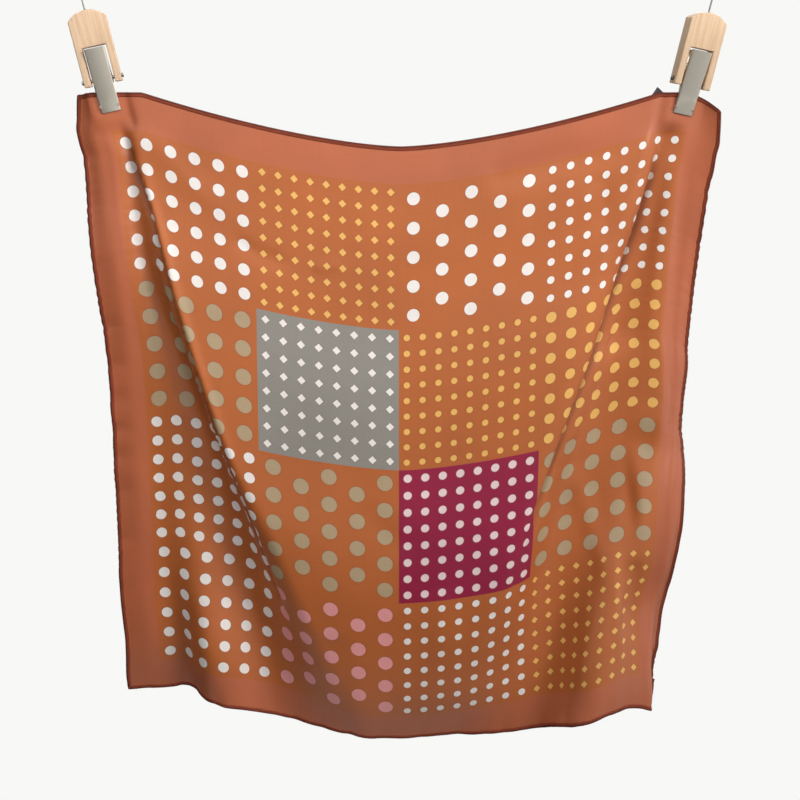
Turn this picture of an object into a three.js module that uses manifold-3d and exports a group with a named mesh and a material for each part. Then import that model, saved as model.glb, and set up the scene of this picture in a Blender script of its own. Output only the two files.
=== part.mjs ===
// A silk square scarf that hangs from two wooden spring clips, each with a wire hook.
// Millimetres, +Z up, the printed face towards -Y, the wearer's left and right as seen in a picture.
// The origin is midway between the bearing points of the two hooks.

import * as THREE from 'three';
import { mergeVertices } from 'three/addons/utils/BufferGeometryUtils.js';
import Module from 'manifold-3d';

const wasm = await Module();
wasm.setup();

// The cut of the cloth
const SQUARE = 534;
const CLOTH_WALL = 1.2;
const HEM_WIDTH = 4;
const HEM_WALL = 2.2;
const HEM_LIP = 0.8;
const SEAM_GAP = 0.36;

// How the top edge hangs: the clips' height, the sag between them and the two free corners
const EDGE_DROP = 104;
const TOP_EDGE = {
  sag: 42.5,
  sagFrom: 57,
  sagTo: 480,
  sagPower: 1.5,
  rightCornerDrop: 11,
  rightCornerFrom: 498,
  rightCornerRun: 40,
  leftCornerDrop: 2,
  leftCornerRun: 20,
};

// The warp thread that hangs plumb, from which the rest of the net is laid out
const PLUMB_THREAD = 262;

// The fold lines that run from the top edge to the hem, left to right
const FOLD_LINES = [
  'leftEdge', 'leftStrip', 'leftTuck', 'leftWave', 'leftFoot', 'leftStep',
  'middle', 'rightStep', 'rightFoot', 'rightWave', 'rightTuck', 'rightEdge',
];

// Each section is a weft thread: how far down the cloth it lies, then for each fold line its
// place across the cloth and its rise towards the front
const SECTIONS = [
  {
    down: 0,
    across: [0, 16, 25, 30, 38, 48, 265, 474, 490, 503, 516, SQUARE],
    rise: [-6, 0, 0, 0, -1, 0, 0, 1, -1, 0, 0, 3],
  },
  {
    down: 67,
    across: [0, 18, 26, 32, 40, 62, 265, 460, 489, 503, 517, SQUARE],
    rise: [-5, 0, 0, -1, -3, 4, 6, 6, -5, -2, -5, -6],
  },
  {
    down: 130,
    across: [0, 20, 28, 34, 44, 74, 265, 433, 477, 502, 518, SQUARE],
    rise: [-2, 1, 0, -1, -4, 11, 11, 11, -8, -3, -9, -12],
  },
  {
    down: 200,
    across: [0, 20, 32, 42, 56, 96, 265, 409, 466, 500, 518, SQUARE],
    rise: [-3, 0, -1, -2, -5, 19, 18, 18, -8, -2, -9, -15],
  },
  {
    down: 270,
    across: [0, 20, 36, 52, 75, 124, 265, 385, 455, 503, 519, SQUARE],
    rise: [-3, -1, -2, -2, -5, 25, 22, 22, -7, 1, -7, -15],
  },
  {
    down: 340,
    across: [0, 20, 38, 62, 94, 161, 265, 363, 438, 489, 516, SQUARE],
    rise: [-4, -2, -4, -2, -6, 30, 26, 25, -6, 7, -1, -8],
  },
  {
    down: 400,
    across: [0, 18, 39, 72, 112, 188, 265, 343, 419, 478, 514, SQUARE],
    rise: [-5, -4, -6, 1, -8, 27, 25, 25, -2, 20, 7, -4],
  },
  {
    down: 480,
    across: [0, 18, 44, 88, 142, 224, 265, 318, 397, 460, 510, SQUARE],
    rise: [-11, -10, -13, 8, -9, 17, 15, 15, 3, 34, 12, -3],
  },
  {
    down: SQUARE,
    across: [0, 20, 48, 100, 158, 240, 265, 300, 376, 454, 512, SQUARE],
    rise: [-20, -20, -23, 4, -11, -1, -4, -4, 5, 42, 21, -4],
  },
];

// The clips: where the jaws' lower edge grips the cloth, and how each clip leans and turns
const CLIPS = [
  { side: 'left', across: 31.3, down: 14.6, lean: -12, turn: 8 },
  { side: 'right', across: 499.3, down: 16.5, lean: 12, turn: 8 },
];
const GRIP = { halfWidth: 12.5, below: 3, fadeAcross: 8, fadeBelow: 16 };

// The clip's pieces, measured up from the jaws' lower edge
const WOOD = {
  width: 30, depth: 14, legsAt: 21.6, slotTop: 51.4, slotWidth: 19, shoulder: 72.8, crown: 6.6, bevel: 0.9,
};
const PIN = { up: 25.7, radius: 1.5, reach: 17.4, headRadius: 2.2, headLength: 2, sides: 14 };
const JAW = {
  length: 50, plate: 1, width: 16, innerWidth: 13.2, flange: 1, slope: 10, clear: 0.35,
  flangeDepth: 2.6, earRadius: 3.4, flangeFrom: 3.4, clothTop: 17,
};
const SPRING = { wire: 0.55, radius: 2.9, turns: 4.5, width: 6.4, armUp: 42, stepsPerTurn: 10, sides: 5 };
const HOOK = { wire: 0.7, hole: 1.06, eye: 5, seat: 10, steps: 38, sides: 6, openFrom: -65, openTo: 245 };
const RUNNING_GAP = 0.3;

// The blank label, sewn behind the top edge near the right clip, one corner above it
const LABEL = { across: 480.5, down: 7, width: 20, height: 14, wall: 1, clear: 0.6, angle: 45, cells: [5, 4] };

// The net's mesh, and the stations at which the solid wall is laid out
const NET_CELLS = 106;
const ACROSS_ZONES = [
  { to: 18, cells: 2 },
  { to: 41.5, cells: 3 },
  { to: 140, cells: 9 },
  { to: 380, cells: 12 },
  { to: 489, cells: 10 },
  { to: 512.5, cells: 3 },
  { to: SQUARE, cells: 2 },
];
const DOWN_CELLS = 34;

const COLOURS = {
  silk: { color: 0xb86440, roughness: 0.45, metalness: 0 },
  hem: { color: 0x7c3a2a, roughness: 0.6, metalness: 0 },
  label: { color: 0x1c1620, roughness: 0.7, metalness: 0 },
  beech: { color: 0xe0bb8c, roughness: 0.6, metalness: 0 },
  nickel: { color: 0xb9b4a8, roughness: 0.35, metalness: 1 },
  steel: { color: 0x8d8b88, roughness: 0.3, metalness: 1 },
};

const radians = THREE.MathUtils.degToRad;

function ease(value) {
  const v = THREE.MathUtils.clamp(value, 0, 1);
  return v * v * (3 - 2 * v);
}

// A smooth curve through one column of the sections, read at a place down the cloth
function alongSections(column, key, down) {
  const last = SECTIONS.length - 1;
  const d = THREE.MathUtils.clamp(down, 0, SQUARE);
  let i = 0;
  while (i < last - 1 && d >= SECTIONS[i + 1].down) i += 1;
  const value = (k) => SECTIONS[THREE.MathUtils.clamp(k, 0, last)][key][column];
  const place = (k) => SECTIONS[THREE.MathUtils.clamp(k, 0, last)].down;
  const slope = (k) => (value(k + 1) - value(k - 1)) / (place(k + 1) - place(k - 1));
  const run = place(i + 1) - place(i);
  const u = (d - place(i)) / run;
  const u2 = u * u;
  const u3 = u2 * u;
  return (2 * u3 - 3 * u2 + 1) * value(i)
    + (u3 - 2 * u2 + u) * run * slope(i)
    + (3 * u2 - 2 * u3) * value(i + 1)
    + (u3 - u2) * run * slope(i + 1);
}

// How far the cloth rises towards the front at one level, as a function of the place across
function sectionAt(down) {
  const across = FOLD_LINES.map((_, column) => alongSections(column, 'across', down));
  const rise = FOLD_LINES.map((_, column) => alongSections(column, 'rise', down));
  return (place) => {
    let k = 0;
    while (k < across.length - 2 && place >= across[k + 1]) k += 1;
    const u = ease((place - across[k]) / (across[k + 1] - across[k]));
    const folds = rise[k] + (rise[k + 1] - rise[k]) * u;
    return CLIPS.reduce((height, clip) => gripped(height, clip, place, down), folds);
  };
}

// Between the jaws the cloth is flat and turned with the clip
function gripped(height, clip, place, down) {
  const lean = radians(clip.lean);
  const sideways = (place - clip.across) * Math.cos(lean) + (down - clip.down) * Math.sin(lean);
  const beside = ease(1 - (Math.abs(sideways) - GRIP.halfWidth) / GRIP.fadeAcross);
  const below = ease(1 - (down - clip.down - GRIP.below) / GRIP.fadeBelow);
  const hold = beside * below;
  return height * (1 - hold) - Math.sin(radians(clip.turn)) * sideways * hold;
}

function topEdgeHeight(place) {
  const e = TOP_EDGE;
  const a = THREE.MathUtils.clamp((place - e.sagFrom) / (e.sagTo - e.sagFrom), 0, 1);
  const sag = e.sag * (1 - Math.abs(2 * a - 1) ** e.sagPower);
  const right = e.rightCornerDrop * ease((place - e.rightCornerFrom) / e.rightCornerRun);
  const left = e.leftCornerDrop * ease((e.leftCornerRun - place) / e.leftCornerRun);
  return -EDGE_DROP - sag - right - left;
}

// What is left of a thread's length in the plane of the cloth after its change of depth
function flatRun(length, depthChange) {
  return Math.sqrt(Math.max(length * length - depthChange * depthChange, 0.04 * length * length));
}

// The point that lies one warp cell below `above` and one weft cell beside `beside`
function nextCorner(above, beside, y, cell, step) {
  const r1 = flatRun(cell, y - above.y);
  const r2 = flatRun(cell, y - beside.y);
  const dx = beside.x - above.x;
  const dz = beside.z - above.z;
  const d = Math.max(Math.hypot(dx, dz), 1e-6);
  const m = THREE.MathUtils.clamp((r1 * r1 - r2 * r2 + d * d) / (2 * d), -r1, r1);
  const h = Math.sqrt(Math.max(r1 * r1 - m * m, 0));
  const x = above.x + (dx * m) / d;
  const z = above.z + (dz * m) / d;
  const one = new THREE.Vector3(x - (dz * h) / d, y, z + (dx * h) / d);
  const two = new THREE.Vector3(x + (dz * h) / d, y, z - (dx * h) / d);
  return step * one.x - one.z > step * two.x - two.z ? one : two;
}

// The cloth's middle surface: a net of warp and weft threads that keep their length and only
// shear. Its top edge and its rises are given, and the rest follows thread by thread.
function layNet() {
  const cell = SQUARE / NET_CELLS;
  const depth = [];
  for (let j = 0; j <= NET_CELLS; j += 1) {
    const rise = sectionAt(j * cell);
    depth.push(Array.from({ length: NET_CELLS + 1 }, (_, i) => -rise(i * cell)));
  }
  const rows = [[new THREE.Vector3(0, depth[0][0], topEdgeHeight(0))]];
  for (let i = 1; i <= NET_CELLS; i += 1) {
    const before = rows[0][i - 1];
    const z = topEdgeHeight(i * cell);
    const run = flatRun(flatRun(cell, depth[0][i] - before.y), z - before.z);
    rows[0].push(new THREE.Vector3(before.x + run, depth[0][i], z));
  }
  const plumb = Math.round(PLUMB_THREAD / cell);
  for (let j = 1; j <= NET_CELLS; j += 1) {
    const row = [];
    const over = rows[j - 1][plumb];
    row[plumb] = new THREE.Vector3(over.x, depth[j][plumb], over.z - flatRun(cell, depth[j][plumb] - over.y));
    for (const step of [1, -1]) {
      for (let i = plumb + step; i >= 0 && i <= NET_CELLS; i += step) {
        row[i] = nextCorner(rows[j - 1][i], row[i - step], depth[j][i], cell, step);
      }
    }
    rows.push(row);
  }
  return rows;
}

const net = layNet();

// A point of the middle surface between the net's knots
function clothPoint(across, down) {
  const cell = SQUARE / NET_CELLS;
  const a = THREE.MathUtils.clamp(across / cell, 0, NET_CELLS);
  const b = THREE.MathUtils.clamp(down / cell, 0, NET_CELLS);
  const i = Math.min(Math.floor(a), NET_CELLS - 1);
  const j = Math.min(Math.floor(b), NET_CELLS - 1);
  const upper = net[j][i].clone().lerp(net[j][i + 1], a - i);
  const lower = net[j + 1][i].clone().lerp(net[j + 1][i + 1], a - i);
  return upper.lerp(lower, b - j);
}

function clothNormal(across, down) {
  const reach = 4;
  const weft = clothPoint(across + reach, down).sub(clothPoint(across - reach, down));
  const warp = clothPoint(across, down - reach).sub(clothPoint(across, down + reach));
  return weft.cross(warp).normalize();
}

// Where each clip stands, and the shift that brings the origin midway between the hooks
for (const clip of CLIPS) {
  const foot = clothPoint(clip.across, clip.down);
  clip.foot = new THREE.Vector3(foot.x, 0, foot.z);
  clip.reach = -foot.z / Math.cos(radians(clip.lean));
  clip.bearingX = foot.x + clip.reach * Math.sin(radians(clip.lean));
}
const shift = -(CLIPS[0].bearingX + CLIPS[1].bearingX) / 2;
for (const row of net) {
  for (const knot of row) knot.x += shift;
}
for (const clip of CLIPS) clip.foot.x += shift;

// A closed wall over a grid of places: `half` gives half its thickness, `behind` moves it back
function wall(acrossList, downList, half, behind = 0, place = (a, d) => [a, d, 0]) {
  const columns = acrossList.length;
  const rows = downList.length;
  const positions = [];
  for (const face of [1, -1]) {
    downList.forEach((down, j) => {
      acrossList.forEach((across, i) => {
        const [a, d, lift] = place(across, down);
        const point = clothPoint(a, d);
        point.addScaledVector(clothNormal(a, d), face * half(i, j) - behind);
        point.z += lift;
        positions.push(point.x, point.y, point.z);
      });
    });
  }
  const back = columns * rows;
  const index = [];
  const quad = (a, b, c, d) => index.push(a, b, c, a, c, d);
  for (let j = 0; j < rows - 1; j += 1) {
    for (let i = 0; i < columns - 1; i += 1) {
      const k = j * columns + i;
      quad(k, k + columns, k + columns + 1, k + 1);
      quad(back + k, back + k + 1, back + k + columns + 1, back + k + columns);
    }
  }
  for (let i = 0; i < columns - 1; i += 1) {
    const low = (rows - 1) * columns + i;
    quad(i, i + 1, back + i + 1, back + i);
    quad(low, back + low, back + low + 1, low + 1);
  }
  for (let j = 0; j < rows - 1; j += 1) {
    const left = j * columns;
    const right = left + columns - 1;
    quad(left, back + left, back + left + columns, left + columns);
    quad(right, right + columns, back + right + columns, back + right);
  }
  const geometry = new THREE.BufferGeometry();
  geometry.setAttribute('position', new THREE.Float32BufferAttribute(positions, 3));
  geometry.setIndex(index);
  return geometry;
}

function stations(from, to, zones) {
  const list = [from];
  let start = 0;
  for (const zone of zones) {
    for (let k = 1; k <= zone.cells; k += 1) {
      const at = start + ((zone.to - start) * k) / zone.cells;
      if (at > from + 1 && at < to - 1) list.push(at);
    }
    start = zone.to;
  }
  list.push(to);
  return list;
}

function buildCloth() {
  const inside = HEM_WIDTH + SEAM_GAP / 2;
  const hemEdge = HEM_WIDTH - SEAM_GAP / 2;
  const downZones = [{ to: SQUARE, cells: DOWN_CELLS }];
  const innerAcross = stations(inside, SQUARE - inside, ACROSS_ZONES);
  const fullAcross = [0, ...innerAcross, SQUARE];
  const innerDown = stations(inside, SQUARE - inside, downZones);
  const near = [0, HEM_LIP, hemEdge];
  const far = near.map((place) => SQUARE - place).reverse();
  const nearHalf = [CLOTH_WALL / 2, HEM_WALL / 2, HEM_WALL / 2];
  const farHalf = [...nearHalf].reverse();
  return {
    silk_panel: [wall(innerAcross, innerDown, () => CLOTH_WALL / 2), COLOURS.silk],
    hem_top: [wall(fullAcross, near, (i, j) => nearHalf[j]), COLOURS.hem],
    hem_bottom: [wall(fullAcross, far, (i, j) => farHalf[j]), COLOURS.hem],
    hem_left: [wall(near, innerDown, (i) => nearHalf[i]), COLOURS.hem],
    hem_right: [wall(far, innerDown, (i) => farHalf[i]), COLOURS.hem],
  };
}

function buildLabel() {
  const grid = (size, cells) => Array.from({ length: cells + 1 }, (_, k) => size * (k / cells - 0.5));
  const turn = radians(LABEL.angle);
  const place = (a, d) => {
    const across = LABEL.across + a * Math.cos(turn) - d * Math.sin(turn);
    const down = LABEL.down + a * Math.sin(turn) + d * Math.cos(turn);
    return [across, Math.max(down, 0), Math.max(-down, 0)];
  };
  const behind = HEM_WALL / 2 + LABEL.clear + LABEL.wall / 2;
  return wall(
    grid(LABEL.width, LABEL.cells[0]), grid(LABEL.height, LABEL.cells[1]),
    () => LABEL.wall / 2, behind, place,
  );
}

// Booleans, for the holes in the wood and the folded sheet of the jaws
function toSolid(geometry) {
  let plain = geometry.clone();
  plain.deleteAttribute('normal');
  plain.deleteAttribute('uv');
  plain = mergeVertices(plain, 1e-4);
  return new wasm.Manifold(new wasm.Mesh({
    numProp: 3,
    vertProperties: new Float32Array(plain.attributes.position.array),
    triVerts: new Uint32Array(plain.index.array),
  }));
}

function toGeometry(solid) {
  const mesh = solid.getMesh();
  const geometry = new THREE.BufferGeometry();
  geometry.setAttribute('position', new THREE.Float32BufferAttribute(mesh.vertProperties, 3));
  geometry.setIndex(Array.from(mesh.triVerts));
  return geometry;
}

// A rod along X or Z
function rod(radius, length, sides, axis, centre) {
  const geometry = new THREE.CylinderGeometry(radius, radius, length, sides);
  if (axis === 'x') geometry.rotateZ(Math.PI / 2);
  if (axis === 'z') geometry.rotateX(Math.PI / 2);
  return geometry.translate(...centre);
}

function buildWood() {
  const side = WOOD.width / 2;
  const slot = WOOD.slotWidth / 2;
  const arcRadius = (side * side + WOOD.crown * WOOD.crown) / (2 * WOOD.crown);
  const arcCentre = WOOD.shoulder + WOOD.crown - arcRadius;
  const arcFrom = Math.atan2(WOOD.shoulder - arcCentre, side);
  const outline = new THREE.Shape();
  outline.moveTo(-side, WOOD.legsAt);
  outline.lineTo(-slot, WOOD.legsAt);
  outline.lineTo(-slot, WOOD.slotTop);
  outline.lineTo(slot, WOOD.slotTop);
  outline.lineTo(slot, WOOD.legsAt);
  outline.lineTo(side, WOOD.legsAt);
  outline.lineTo(side, WOOD.shoulder);
  outline.absarc(0, arcCentre, arcRadius, arcFrom, Math.PI - arcFrom, false);
  outline.lineTo(-side, WOOD.legsAt);
  const block = new THREE.ExtrudeGeometry(outline, {
    depth: WOOD.depth - 2 * WOOD.bevel,
    curveSegments: 6,
    bevelEnabled: true,
    bevelThickness: WOOD.bevel,
    bevelSize: WOOD.bevel,
    bevelOffset: -WOOD.bevel,
    bevelSegments: 1,
  });
  block.translate(0, 0, WOOD.bevel - WOOD.depth / 2);
  block.rotateX(Math.PI / 2);
  const top = WOOD.shoulder + WOOD.crown;
  const pinHole = rod(PIN.radius + RUNNING_GAP, WOOD.width + 4, PIN.sides, 'x', [0, 0, PIN.up]);
  const wireHole = rod(HOOK.hole, 2 * HOOK.seat, 10, 'z', [0, 0, top]);
  return toGeometry(toSolid(block).subtract(toSolid(pinHole)).subtract(toSolid(wireHole)));
}

// A profile drawn in depth and height, and drawn out across the clip from one place to another
function acrossClip(points, from, to, hole) {
  const shape = new THREE.Shape(points.map(([y, z]) => new THREE.Vector2(y, z)));
  if (hole) {
    const ring = new THREE.Path();
    ring.absarc(0, PIN.up, hole, 0, 2 * Math.PI, true);
    shape.holes.push(ring);
  }
  const geometry = new THREE.ExtrudeGeometry(shape, {
    depth: to - from, bevelEnabled: false, curveSegments: PIN.sides,
  });
  // Shape x, y and the draw direction become depth, height and across
  const turn = new THREE.Matrix4().makeBasis(
    new THREE.Vector3(0, 1, 0), new THREE.Vector3(0, 0, 1), new THREE.Vector3(1, 0, 0),
  );
  geometry.applyMatrix4(turn);
  return geometry.translate(from, 0, 0);
}

// One jaw is a flat plate with two folded flanges that the pin runs through
function buildJaw(width, isFront) {
  const slope = Math.tan(radians(JAW.slope));
  const toward = isFront ? 1 : -1;
  const inner = (up) => -(CLOTH_WALL / 2 + JAW.clear + slope * up);
  const outer = (up) => inner(up) - JAW.plate;
  const middle = (up) => inner(up) - JAW.plate / 2;
  const hemFace = -(HEM_WALL / 2 + JAW.clear);
  const flip = (points) => (isFront ? points : points.map(([y, z]) => [-y, z]).reverse());
  const plate = flip([
    [inner(0), 0], [inner(JAW.length), JAW.length],
    [outer(JAW.length), JAW.length], [outer(0), 0],
  ]);
  const ear = [];
  for (let angle = -60; angle <= 60; angle += 24) {
    const a = radians(angle);
    ear.push([JAW.earRadius * Math.cos(a), PIN.up + JAW.earRadius * Math.sin(a)]);
  }
  const belowEar = PIN.up - 2 * JAW.earRadius;
  const aboveEar = PIN.up + 2 * JAW.earRadius;
  const flange = flip([
    [middle(JAW.flangeFrom), JAW.flangeFrom],
    [hemFace, JAW.flangeFrom + 1],
    [hemFace, JAW.clothTop],
    [hemFace + 0.3, belowEar],
    ...ear,
    [inner(aboveEar) + JAW.flangeDepth, aboveEar],
    [inner(JAW.length) + JAW.flangeDepth, JAW.length],
    [middle(JAW.length), JAW.length],
  ]);
  const half = width / 2;
  const hole = PIN.radius + RUNNING_GAP;
  let solid = toSolid(acrossClip(plate, -half, half));
  solid = solid.add(toSolid(acrossClip(flange, -half, -half + JAW.flange, hole)));
  solid = solid.add(toSolid(acrossClip(flange, half - JAW.flange, half, hole)));
  return { geometry: toGeometry(solid), inner: (up) => toward * inner(up) };
}

function buildPin() {
  const r = PIN.radius;
  const end = PIN.reach;
  const neck = end - PIN.headLength;
  const profile = [
    [0, -end], [PIN.headRadius * 0.7, -end], [PIN.headRadius, -end + 0.6], [PIN.headRadius, -neck],
    [r, -neck], [r, neck],
    [PIN.headRadius, neck], [PIN.headRadius, end - 0.6], [PIN.headRadius * 0.7, end], [0, end],
  ].map(([x, y]) => new THREE.Vector2(x, y));
  const geometry = new THREE.LatheGeometry(profile, PIN.sides);
  geometry.rotateZ(Math.PI / 2);
  return geometry.translate(0, 0, PIN.up);
}

function wireAlong(points, radius, sides, steps) {
  const section = new THREE.Shape();
  for (let k = 0; k < sides; k += 1) {
    const a = (2 * Math.PI * k) / sides;
    const x = radius * Math.cos(a);
    const y = radius * Math.sin(a);
    if (k === 0) section.moveTo(x, y);
    else section.lineTo(x, y);
  }
  section.closePath();
  const path = new THREE.CatmullRomCurve3(points, false, 'centripetal');
  return new THREE.ExtrudeGeometry(section, { steps, bevelEnabled: false, extrudePath: path });
}

// A torsion spring round the pin, its arms pressing the upper ends of the jaws apart
function buildSpring(frontInner, backInner) {
  const stand = SPRING.wire + RUNNING_GAP;
  const arm = (inner, sign, up) => sign * (Math.abs(inner(up)) - stand);
  const points = [];
  const armSteps = 3;
  for (let k = 0; k < armSteps; k += 1) {
    const u = k / armSteps;
    const y = THREE.MathUtils.lerp(arm(frontInner, -1, SPRING.armUp), -SPRING.radius, u);
    points.push(new THREE.Vector3(-SPRING.width / 2, y, THREE.MathUtils.lerp(SPRING.armUp, PIN.up + 2, u)));
  }
  const count = SPRING.turns * SPRING.stepsPerTurn;
  for (let k = 0; k <= count; k += 1) {
    const angle = Math.PI + (2 * Math.PI * k) / SPRING.stepsPerTurn;
    points.push(new THREE.Vector3(
      SPRING.width * (k / count - 0.5),
      SPRING.radius * Math.cos(angle),
      PIN.up + SPRING.radius * Math.sin(angle),
    ));
  }
  for (let k = armSteps - 1; k >= 0; k -= 1) {
    const u = k / armSteps;
    const y = THREE.MathUtils.lerp(arm(backInner, 1, SPRING.armUp), SPRING.radius, u);
    points.push(new THREE.Vector3(SPRING.width / 2, y, THREE.MathUtils.lerp(SPRING.armUp, PIN.up + 2, u)));
  }
  return wireAlong(points, SPRING.wire, SPRING.sides, points.length - 1);
}

// A straight wire out of the wood's crown, bent into an open eye whose inner top is at `reach`
function buildHook(reach) {
  const ring = HOOK.eye + HOOK.wire;
  const centre = reach - HOOK.eye;
  const seat = WOOD.shoulder + WOOD.crown - HOOK.seat + RUNNING_GAP;
  const points = [
    new THREE.Vector3(0, 0, seat),
    new THREE.Vector3(0, 0, (seat + centre) / 2),
    new THREE.Vector3(0, 0, centre - ring - 2.5),
  ];
  for (let angle = HOOK.openFrom; angle <= HOOK.openTo; angle += 15.5) {
    const a = radians(angle);
    points.push(new THREE.Vector3(ring * Math.cos(a), 0, centre + ring * Math.sin(a)));
  }
  return wireAlong(points, HOOK.wire, HOOK.sides, HOOK.steps);
}

function makeMesh(name, geometry, finish) {
  const mesh = new THREE.Mesh(geometry, new THREE.MeshStandardMaterial(finish));
  mesh.name = name;
  return mesh;
}

function buildClip(clip) {
  const group = new THREE.Group();
  const front = buildJaw(JAW.width, true);
  const back = buildJaw(JAW.innerWidth, false);
  const name = (piece) => `clip_${clip.side}_${piece}`;
  group.add(makeMesh(name('wood'), buildWood(), COLOURS.beech));
  group.add(makeMesh(name('front_jaw'), front.geometry, COLOURS.nickel));
  group.add(makeMesh(name('back_jaw'), back.geometry, COLOURS.nickel));
  group.add(makeMesh(name('pin'), buildPin(), COLOURS.steel));
  group.add(makeMesh(name('spring'), buildSpring(front.inner, back.inner), COLOURS.steel));
  group.add(makeMesh(name('hook'), buildHook(clip.reach), COLOURS.steel));
  group.position.copy(clip.foot);
  group.rotation.set(0, radians(clip.lean), radians(clip.turn), 'YZX');
  return group;
}

const scarf = new THREE.Group();
for (const [name, [geometry, finish]] of Object.entries(buildCloth())) {
  scarf.add(makeMesh(name, geometry, finish));
}
scarf.add(makeMesh('care_label', buildLabel(), COLOURS.label));
for (const clip of CLIPS) scarf.add(buildClip(clip));

export default scarf;
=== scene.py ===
"""A dotted silk square that hangs from two beech clip hangers.

The cloth is laid out thread by thread: its rises towards the front are read from a short table
of sections, and a net of warp and weft threads of fixed length gives the rest.
"""

import math
from contextlib import contextmanager

import bmesh
import bpy
import numpy as np
from bpy.props import FloatProperty, FloatVectorProperty, IntProperty, PointerProperty
from mathutils import Matrix, Vector


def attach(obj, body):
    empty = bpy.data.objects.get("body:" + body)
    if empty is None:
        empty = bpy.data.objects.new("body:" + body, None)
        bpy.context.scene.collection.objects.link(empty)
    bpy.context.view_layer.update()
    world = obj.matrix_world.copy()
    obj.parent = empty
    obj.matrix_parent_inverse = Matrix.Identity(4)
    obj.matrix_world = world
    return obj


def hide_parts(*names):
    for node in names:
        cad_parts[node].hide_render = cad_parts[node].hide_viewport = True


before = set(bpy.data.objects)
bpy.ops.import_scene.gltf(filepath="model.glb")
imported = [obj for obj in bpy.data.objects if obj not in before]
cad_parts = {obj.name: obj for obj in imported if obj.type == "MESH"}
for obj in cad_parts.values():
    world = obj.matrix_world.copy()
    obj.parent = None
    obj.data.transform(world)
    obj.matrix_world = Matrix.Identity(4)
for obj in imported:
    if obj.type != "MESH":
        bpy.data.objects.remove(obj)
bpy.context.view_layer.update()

bl_info = {
    "name": "Hung silk square",
    "version": (1, 0, 0),
    "blender": (4, 5, 0),
    "location": "3D View > Sidebar > Silk square",
    "description": "Models a silk square scarf hung from two wooden clip hangers",
    "category": "Object",
}

MM = 0.001
SIDES = ("left", "right")

# The cut, in millimetres, and how its top edge hangs between the clips
SQUARE = 534.0
EDGE_DROP = 104.0
TOP_SAG = 42.5
SAG_FROM, SAG_TO = 57.0, 480.0
SAG_POWER = 1.5
RIGHT_CORNER_DROP, RIGHT_CORNER_FROM, RIGHT_CORNER_RUN = 11.0, 498.0, 40.0
RIGHT_CURL_DROP, RIGHT_CURL_FROM = 3.5, 518.0
LEFT_CORNER_DROP, LEFT_CORNER_RUN = 2.0, 20.0

# The warp thread that hangs plumb, from which the rest of the net is laid out
PLUMB_THREAD = 262.0

# The fold lines from the top edge to the hem, left to right, in columns. Each section is a weft
# thread, by how far down it lies, with each fold line's place across and its rise to the front.
FOLD_LINES = (
    "left edge", "left strip", "left tuck", "left wave", "left foot", "left step",
    "middle", "right step", "right foot", "right wave", "right tuck", "right edge",
)
SECTIONS = (
    {"down": 0,
     "across": (0, 16, 25, 30, 38, 48, 265, 474, 490, 503, 516, 534),
     "rise": (-6, 0, 0, 0, -1, 0, 0, 1, -1, 0, 0, 3)},
    {"down": 67,
     "across": (0, 18, 26, 32, 40, 62, 265, 460, 489, 503, 517, 534),
     "rise": (-5, 0, 0, -1, -3, 4, 6, 6, -5, -2, -5, -6)},
    {"down": 130,
     "across": (0, 20, 28, 34, 44, 74, 265, 433, 477, 502, 518, 534),
     "rise": (-2, 1, 0, -1, -4, 11, 11, 11, -8, -3, -9, -12)},
    {"down": 200,
     "across": (0, 20, 32, 42, 56, 96, 265, 409, 466, 500, 518, 534),
     "rise": (-3, 0, -1, -2, -5, 19, 18, 18, -8, -2, -9, -15)},
    {"down": 270,
     "across": (0, 20, 36, 52, 75, 124, 265, 385, 455, 503, 519, 534),
     "rise": (-3, -1, -2, -2, -5, 25, 22, 22, -7, 1, -7, -15)},
    {"down": 340,
     "across": (0, 20, 38, 62, 94, 161, 265, 363, 438, 489, 516, 534),
     "rise": (-4, -2, -4, -2, -6, 30, 26, 25, -6, 7, -1, -8)},
    {"down": 400,
     "across": (0, 18, 39, 72, 112, 188, 265, 343, 419, 478, 514, 534),
     "rise": (-5, -4, -6, 1, -8, 27, 25, 25, -2, 20, 7, -4)},
    {"down": 480,
     "across": (0, 18, 44, 88, 142, 224, 265, 318, 397, 460, 510, 534),
     "rise": (-11, -10, -13, 8, -9, 17, 15, 15, 3, 34, 12, -3)},
    {"down": 534,
     "across": (0, 20, 48, 100, 158, 240, 265, 300, 376, 454, 512, 534),
     "rise": (-20, -20, -23, 4, -11, -1, -4, -4, 5, 42, 21, -4)},
)

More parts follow.
